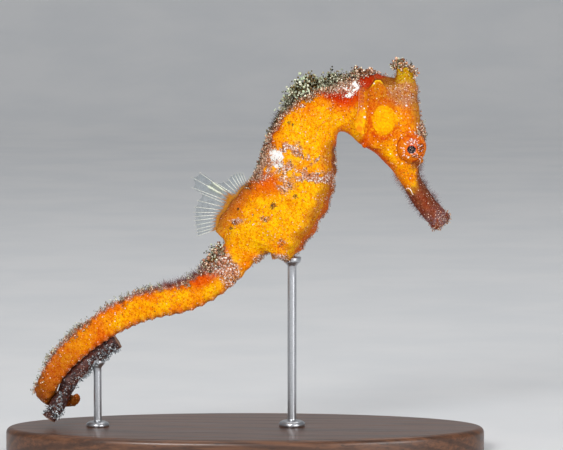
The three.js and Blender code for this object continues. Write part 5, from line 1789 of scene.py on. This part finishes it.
def stem_shape():
    """The cut length of weed that the tail holds, and how far along it each point lies."""
    low, high = -STEM["below"], STEM["above"]
    turn = np.radians(np.arange(STEM_SIDES) * 360 / STEM_SIDES)
    rings, runs = [], []
    for t, shrink in [(low, 0.8), *[(t, 1.0) for t in np.linspace(low, high, STEM_ROWS)], (high, 0.8)]:
        way = unit(stem_place(t + 0.05) - stem_place(t - 0.05))
        radius = (STEM["radius"] * (1 + STEM["swell"] * math.sin(t * 1.3)) + 0.32) * shrink
        wrinkle = 1 + 0.03 * np.sin(turn * 7 + t * 0.4) + 0.02 * np.sin(turn * 3 - t)
        outwards = np.cos(turn)[:, None] * turned_left(way) + np.sin(turn)[:, None] * ACROSS
        rings.append(stem_place(t) + (radius * wrinkle * 0.97)[:, None] * outwards)
        runs.append((t - low) / (high - low))
    mesh = make_mesh("weed_stem", *loft(rings), scale=1.0)
    face_outwards(mesh)
    run = np.concatenate([np.repeat(runs, len(turn)), [0, 1]])
    around = np.concatenate([np.tile(turn / (2 * np.pi), len(rings)), [0, 0]])
    note(mesh, "run", run)
    note(mesh, "place", np.stack([run, around, 0 * run], axis=1), "FLOAT_VECTOR")
    note(mesh, "tone", np.tile(paint(78, 40, 30), (len(run), 1)), "FLOAT_COLOR")
    p = places_of(mesh)
    move_points(mesh, p + ways_of(mesh) * (0.08 * lumps(p, 0.9, 71) - 0.05)[:, None])
    return mesh, run


def grow_on_stem(mesh, run):
    """A light growth on the weed, which leaves its ends and what the tail covers free."""
    p = places_of(mesh)
    s, _ = body_map.find(p)
    from_tail = np.linalg.norm(p - frame_at(s)[0], axis=1) - 2.2
    free = ramp(from_tail, 0.9, 1.9) * window(run, 0.03, 0.97, 0.02)
    bed = Gardener(mesh)
    here = free * ramp(lumps(p, 1.8, 72), -0.5, 0.2)
    bed.plant("weed_sprigs", "pale", "short", here, 0.8 + 0 * run, 8, 61)
    bed.plant("weed_grains", "grit", "grains", free, 0.2 + 0 * run, 7, 62, 0.4)
    bed.leave()


def make_stem():
    """The weed with its growth, as pieces in metres."""
    mesh, run = stem_shape()
    grow_on_stem(mesh, run)
    mesh.transform(Matrix.Scale(MM, 4))
    mesh.materials.append(stem_finish())
    finish_piece("weed_stem", mesh, "weed_stem", "perch_stem")


BASE = {"length": 96, "width": 42, "thickness": 5, "edge": 1.17}
BASE_SIDES = 256
BODY_ROD = {"x": 9.4, "radius": 0.9, "collar": 2.6, "collar_height": 1.2, "top": 39.2}
BODY_ROD |= {"cup": 1.8, "cup_height": 1.9}
STEM_ROD = {"x": -29.6, "radius": 0.8, "collar": 2.3, "collar_height": 1.0, "top": 18.6}
STEM_ROD |= {"cup": 1.5, "cup_height": 1.8}
ROD_SIDES = 64


def wood_finish():
    """Dark walnut under satin lacquer: long grain, growth bands and short pores along X."""
    f = Finish("walnut", coat_weight=0.25, coat_roughness=0.2, specular_ior_level=0.5)
    sway = f.noise(26.0, 3, 0.5, stretch=(0.35, 1.0, 1.0))
    x, y, z = f.parts(f.here)
    rings = ((y * 0.9 + z * 1.6 + sway * 22 + x * 0.05) * 1.25).math("SINE")
    fibre = f.noise(1.0, 5, 0.65, stretch=(0.05, 1.4, 1.4))
    pores = f.noise(0.45, 2, 0.5, stretch=(0.12, 1.6, 1.6))
    f.colour = f.mix(paint(74, 46, 30), paint(112, 72, 46), fibre.between())
    f.lay(paint(48, 29, 20), rings.ramp(0.1, 1.0) * 0.55)
    dark = pores.ramp(0.62, 0.7)
    f.lay(paint(30, 19, 14), dark * 0.7)
    return f.use(roughness=fibre.between(0.32, 0.46), normal=f.bump(fibre * 0.4 - dark, 0.25, 0.05))


def steel_finish():
    """Brushed stainless steel, brushed round the rods."""
    f = Finish("brushed_steel", metallic=1.0)
    brush = f.noise(0.16, 2, 0.5, stretch=(0.2, 0.2, 3.0))
    f.colour = f.mix(paint(178, 180, 184), paint(198, 200, 203), brush.between())
    return f.use(roughness=brush.between(0.3, 0.38))


def make_base():
    """An oval of wood with a rounded upper edge. The profile goes in from the rim and up from the ground."""
    length, width, thick, edge = BASE["length"] / 2, BASE["width"] / 2, BASE["thickness"], BASE["edge"]
    profile = [(20.0, 0.0), (2.0, 0.0), (0.5, 0.0), (0.12, 0.12), (0.0, 0.5), (0.0, thick - edge)]
    for k in range(1, 9):
        turn = math.radians(k * 90 / 8)
        profile.append((edge * (1 - math.cos(turn)), thick - edge * (1 - math.sin(turn))))
    profile += [(inset, thick) for inset in (1.6, 4.0, 8.0, 14.0, 19.5)]
    rings = [flat_ring(0, length - inset, width - inset, z, BASE_SIDES) for inset, z in profile]
    show("stand_foot", loft(rings), wood_finish(), "base_wood", "stand_base")


def rod_profile(rod):
    """(radius, height) of a rod from the foot of its collar to the middle of its cup."""
    floor, top, r = BASE["thickness"], rod["top"], rod["radius"]
    collar, tall, cup, deep = rod["collar"], rod["collar_height"], rod["cup"], rod["cup_height"]
    profile = [(collar - 0.1, floor), (collar, floor + 0.1), (collar, floor + tall * 0.55)]
    profile += [(collar - 0.25, floor + tall * 0.82), (collar * 0.72, floor + tall), (r + 0.12, floor + tall)]
    profile += [(r, floor + tall + 0.15), *[(r, z) for z in np.linspace(floor + tall + 0.4, top - deep, 16)]]
    profile += [(r + (cup - r) * ramp(t, 0, 1), top - deep + deep * 0.62 * t) for t in (0.25, 0.5, 0.75, 1.0)]
    profile += [(cup, z) for z in np.linspace(top - deep * 0.3, top - 0.1, 4)]
    return profile + [(cup * share, top) for share in (0.94, 0.8, 0.6, 0.4, 0.2, 0.02)]


def make_rod(name, rod, held, finish, node):
    """A turned rod with a collar on the base and a cup that is shaped to what it holds."""
    points, faces = loft([flat_ring(rod["x"], r, r, z, ROD_SIDES) for r, z in rod_profile(rod)])
    neck = rod["top"] - rod["cup_height"]
    for k, (x, y, z) in enumerate(points):
        if z > rod["top"] - rod["cup_height"] * 0.5:
            hit = held.ray_cast(Vector((x, y, neck - 3.0)), Vector((0, 0, 1)))[0]
            if hit is not None:
                points[k, 2] = min(z, hit[2] - GAP)
    show(name, (points, faces), finish, "rod_steel", node)


def surface_tree(meshes):
    """One tree, in millimetres, of the faces of several meshes in metres."""
    shapes = [(places_of(mesh) / MM, [list(face.vertices) for face in mesh.polygons]) for mesh in meshes]
    points, faces = joined(shapes)
    return BVHTree.FromPolygons(points.tolist(), faces)


# ---- Making it all ----

SCATTER = scatter_tree()
STRANDS = strand_tree()
TUFTS, COATS = growth_kinds()
skin = skin_shape()
marks = mark_skin(skin)
grow_on_body(skin, marks)
skin.materials.append(skin_finish())
skin.transform(Matrix.Scale(MM, 4))
finish_piece(
    "skin",
    skin,
    "skin",
    *("snout", "head", "coronet", "shoulder_ring", "trunk_upper", "trunk_middle", "trunk_lower"),
    *("tail_root", "tail_upper", "tail_middle", "tail_lower", "tail_bend", "tail_hook", "tail_tip"),
)
make_eyes()
make_fins(surface_tree([skin]))
make_worm_tracks(surface_tree([skin, bpy.data.objects["side_fin_web_right"].data]))
make_stem()
make_base()
steel = steel_finish()
make_rod("body_rod", BODY_ROD, surface_tree([skin]), steel, "stand_rod_body")
make_rod("stem_rod", STEM_ROD, surface_tree([bpy.data.objects["weed_stem"].data]), steel, "stand_rod_perch")

# ---- Floor, light and camera ----


def floor_finish():
    f = Finish("pale_floor", specular_ior_level=0.2)
    f.colour = f.mix(paint(224, 225, 226), paint(230, 230, 230), f.noise(40.0, 3).between())
    return f.use(roughness=f.noise(12.0, 2).between(0.75, 0.85))


FLOOR_REACH = 2.4  # metres to the front and to each side
FLOOR_BEND = {"start": 0.95, "radius": 0.5, "top": 1.6}


def make_floor():
    """A pale sheet that lies flat and curves up far behind."""
    start, radius = FLOOR_BEND["start"], FLOOR_BEND["radius"]
    turns = np.linspace(0, math.pi / 2, 24)
    path = [(start + radius * math.sin(t), radius * (1 - math.cos(t))) for t in turns]
    path = [(-FLOOR_REACH, 0.0), *path, (start + radius, FLOOR_BEND["top"])]
    points = [(x, y, z) for y, z in path for x in (-FLOOR_REACH, FLOOR_REACH)]
    faces = [[2 * i, 2 * i + 1, 2 * i + 3, 2 * i + 2] for i in range(len(path) - 1)]
    mesh = make_mesh("floor", points, faces, scale=1.0)
    mesh.materials.append(floor_finish())
    put("floor", mesh)


def aim(thing, place, target):
    """Puts a lamp or a camera at a place, looking at another."""
    thing.location = place
    thing.rotation_euler = (Vector(target) - Vector(place)).to_track_quat("-Z", "Y").to_euler()


MIDDLE = (0.0, 0.0, 0.045)
LIGHTS = [  # name, place in metres, width in metres and power in watts
    ("front_left", (-0.22, -0.62, 0.38), 0.26, 3.2),
    ("front_right", (0.4, -0.5, 0.15), 0.3, 1.5),
    ("above", (0.05, 0.25, 0.6), 0.4, 0.7),
    ("ceiling", (0.0, 0.3, 2.4), 2.4, 12),
]


def soft_light(name, place, size, power):
    lamp = bpy.data.lights.new(name, "AREA")
    lamp.shape, lamp.size, lamp.energy = "DISK", size, power
    aim(put(name, lamp), place, MIDDLE)


make_floor()
for light in LIGHTS:
    soft_light(*light)
world = bpy.data.worlds.new("soft_room")
world.use_nodes = True
world.node_tree.nodes["Background"].inputs["Color"].default_value = (0.9, 0.94, 1.0, 1)
world.node_tree.nodes["Background"].inputs["Strength"].default_value = 0.26
bpy.context.scene.world = world
bpy.context.scene.view_settings.view_transform = "Standard"

AIM = Vector((7.3, 0.0, 45.6)) * MM
ELEVATION = math.radians(5)
DISTANCE = 0.8
SENSOR = 36
VIEW_WIDTH = 0.1126  # metres across the picture at the model
camera = bpy.data.cameras.new("camera")
camera.sensor_width = SENSOR
camera.lens = SENSOR * DISTANCE / VIEW_WIDTH
camera_object = put("camera", camera)
aim(camera_object, AIM + Vector((0, -math.cos(ELEVATION), math.sin(ELEVATION))) * DISTANCE, AIM)
bpy.context.scene.camera = camera_object
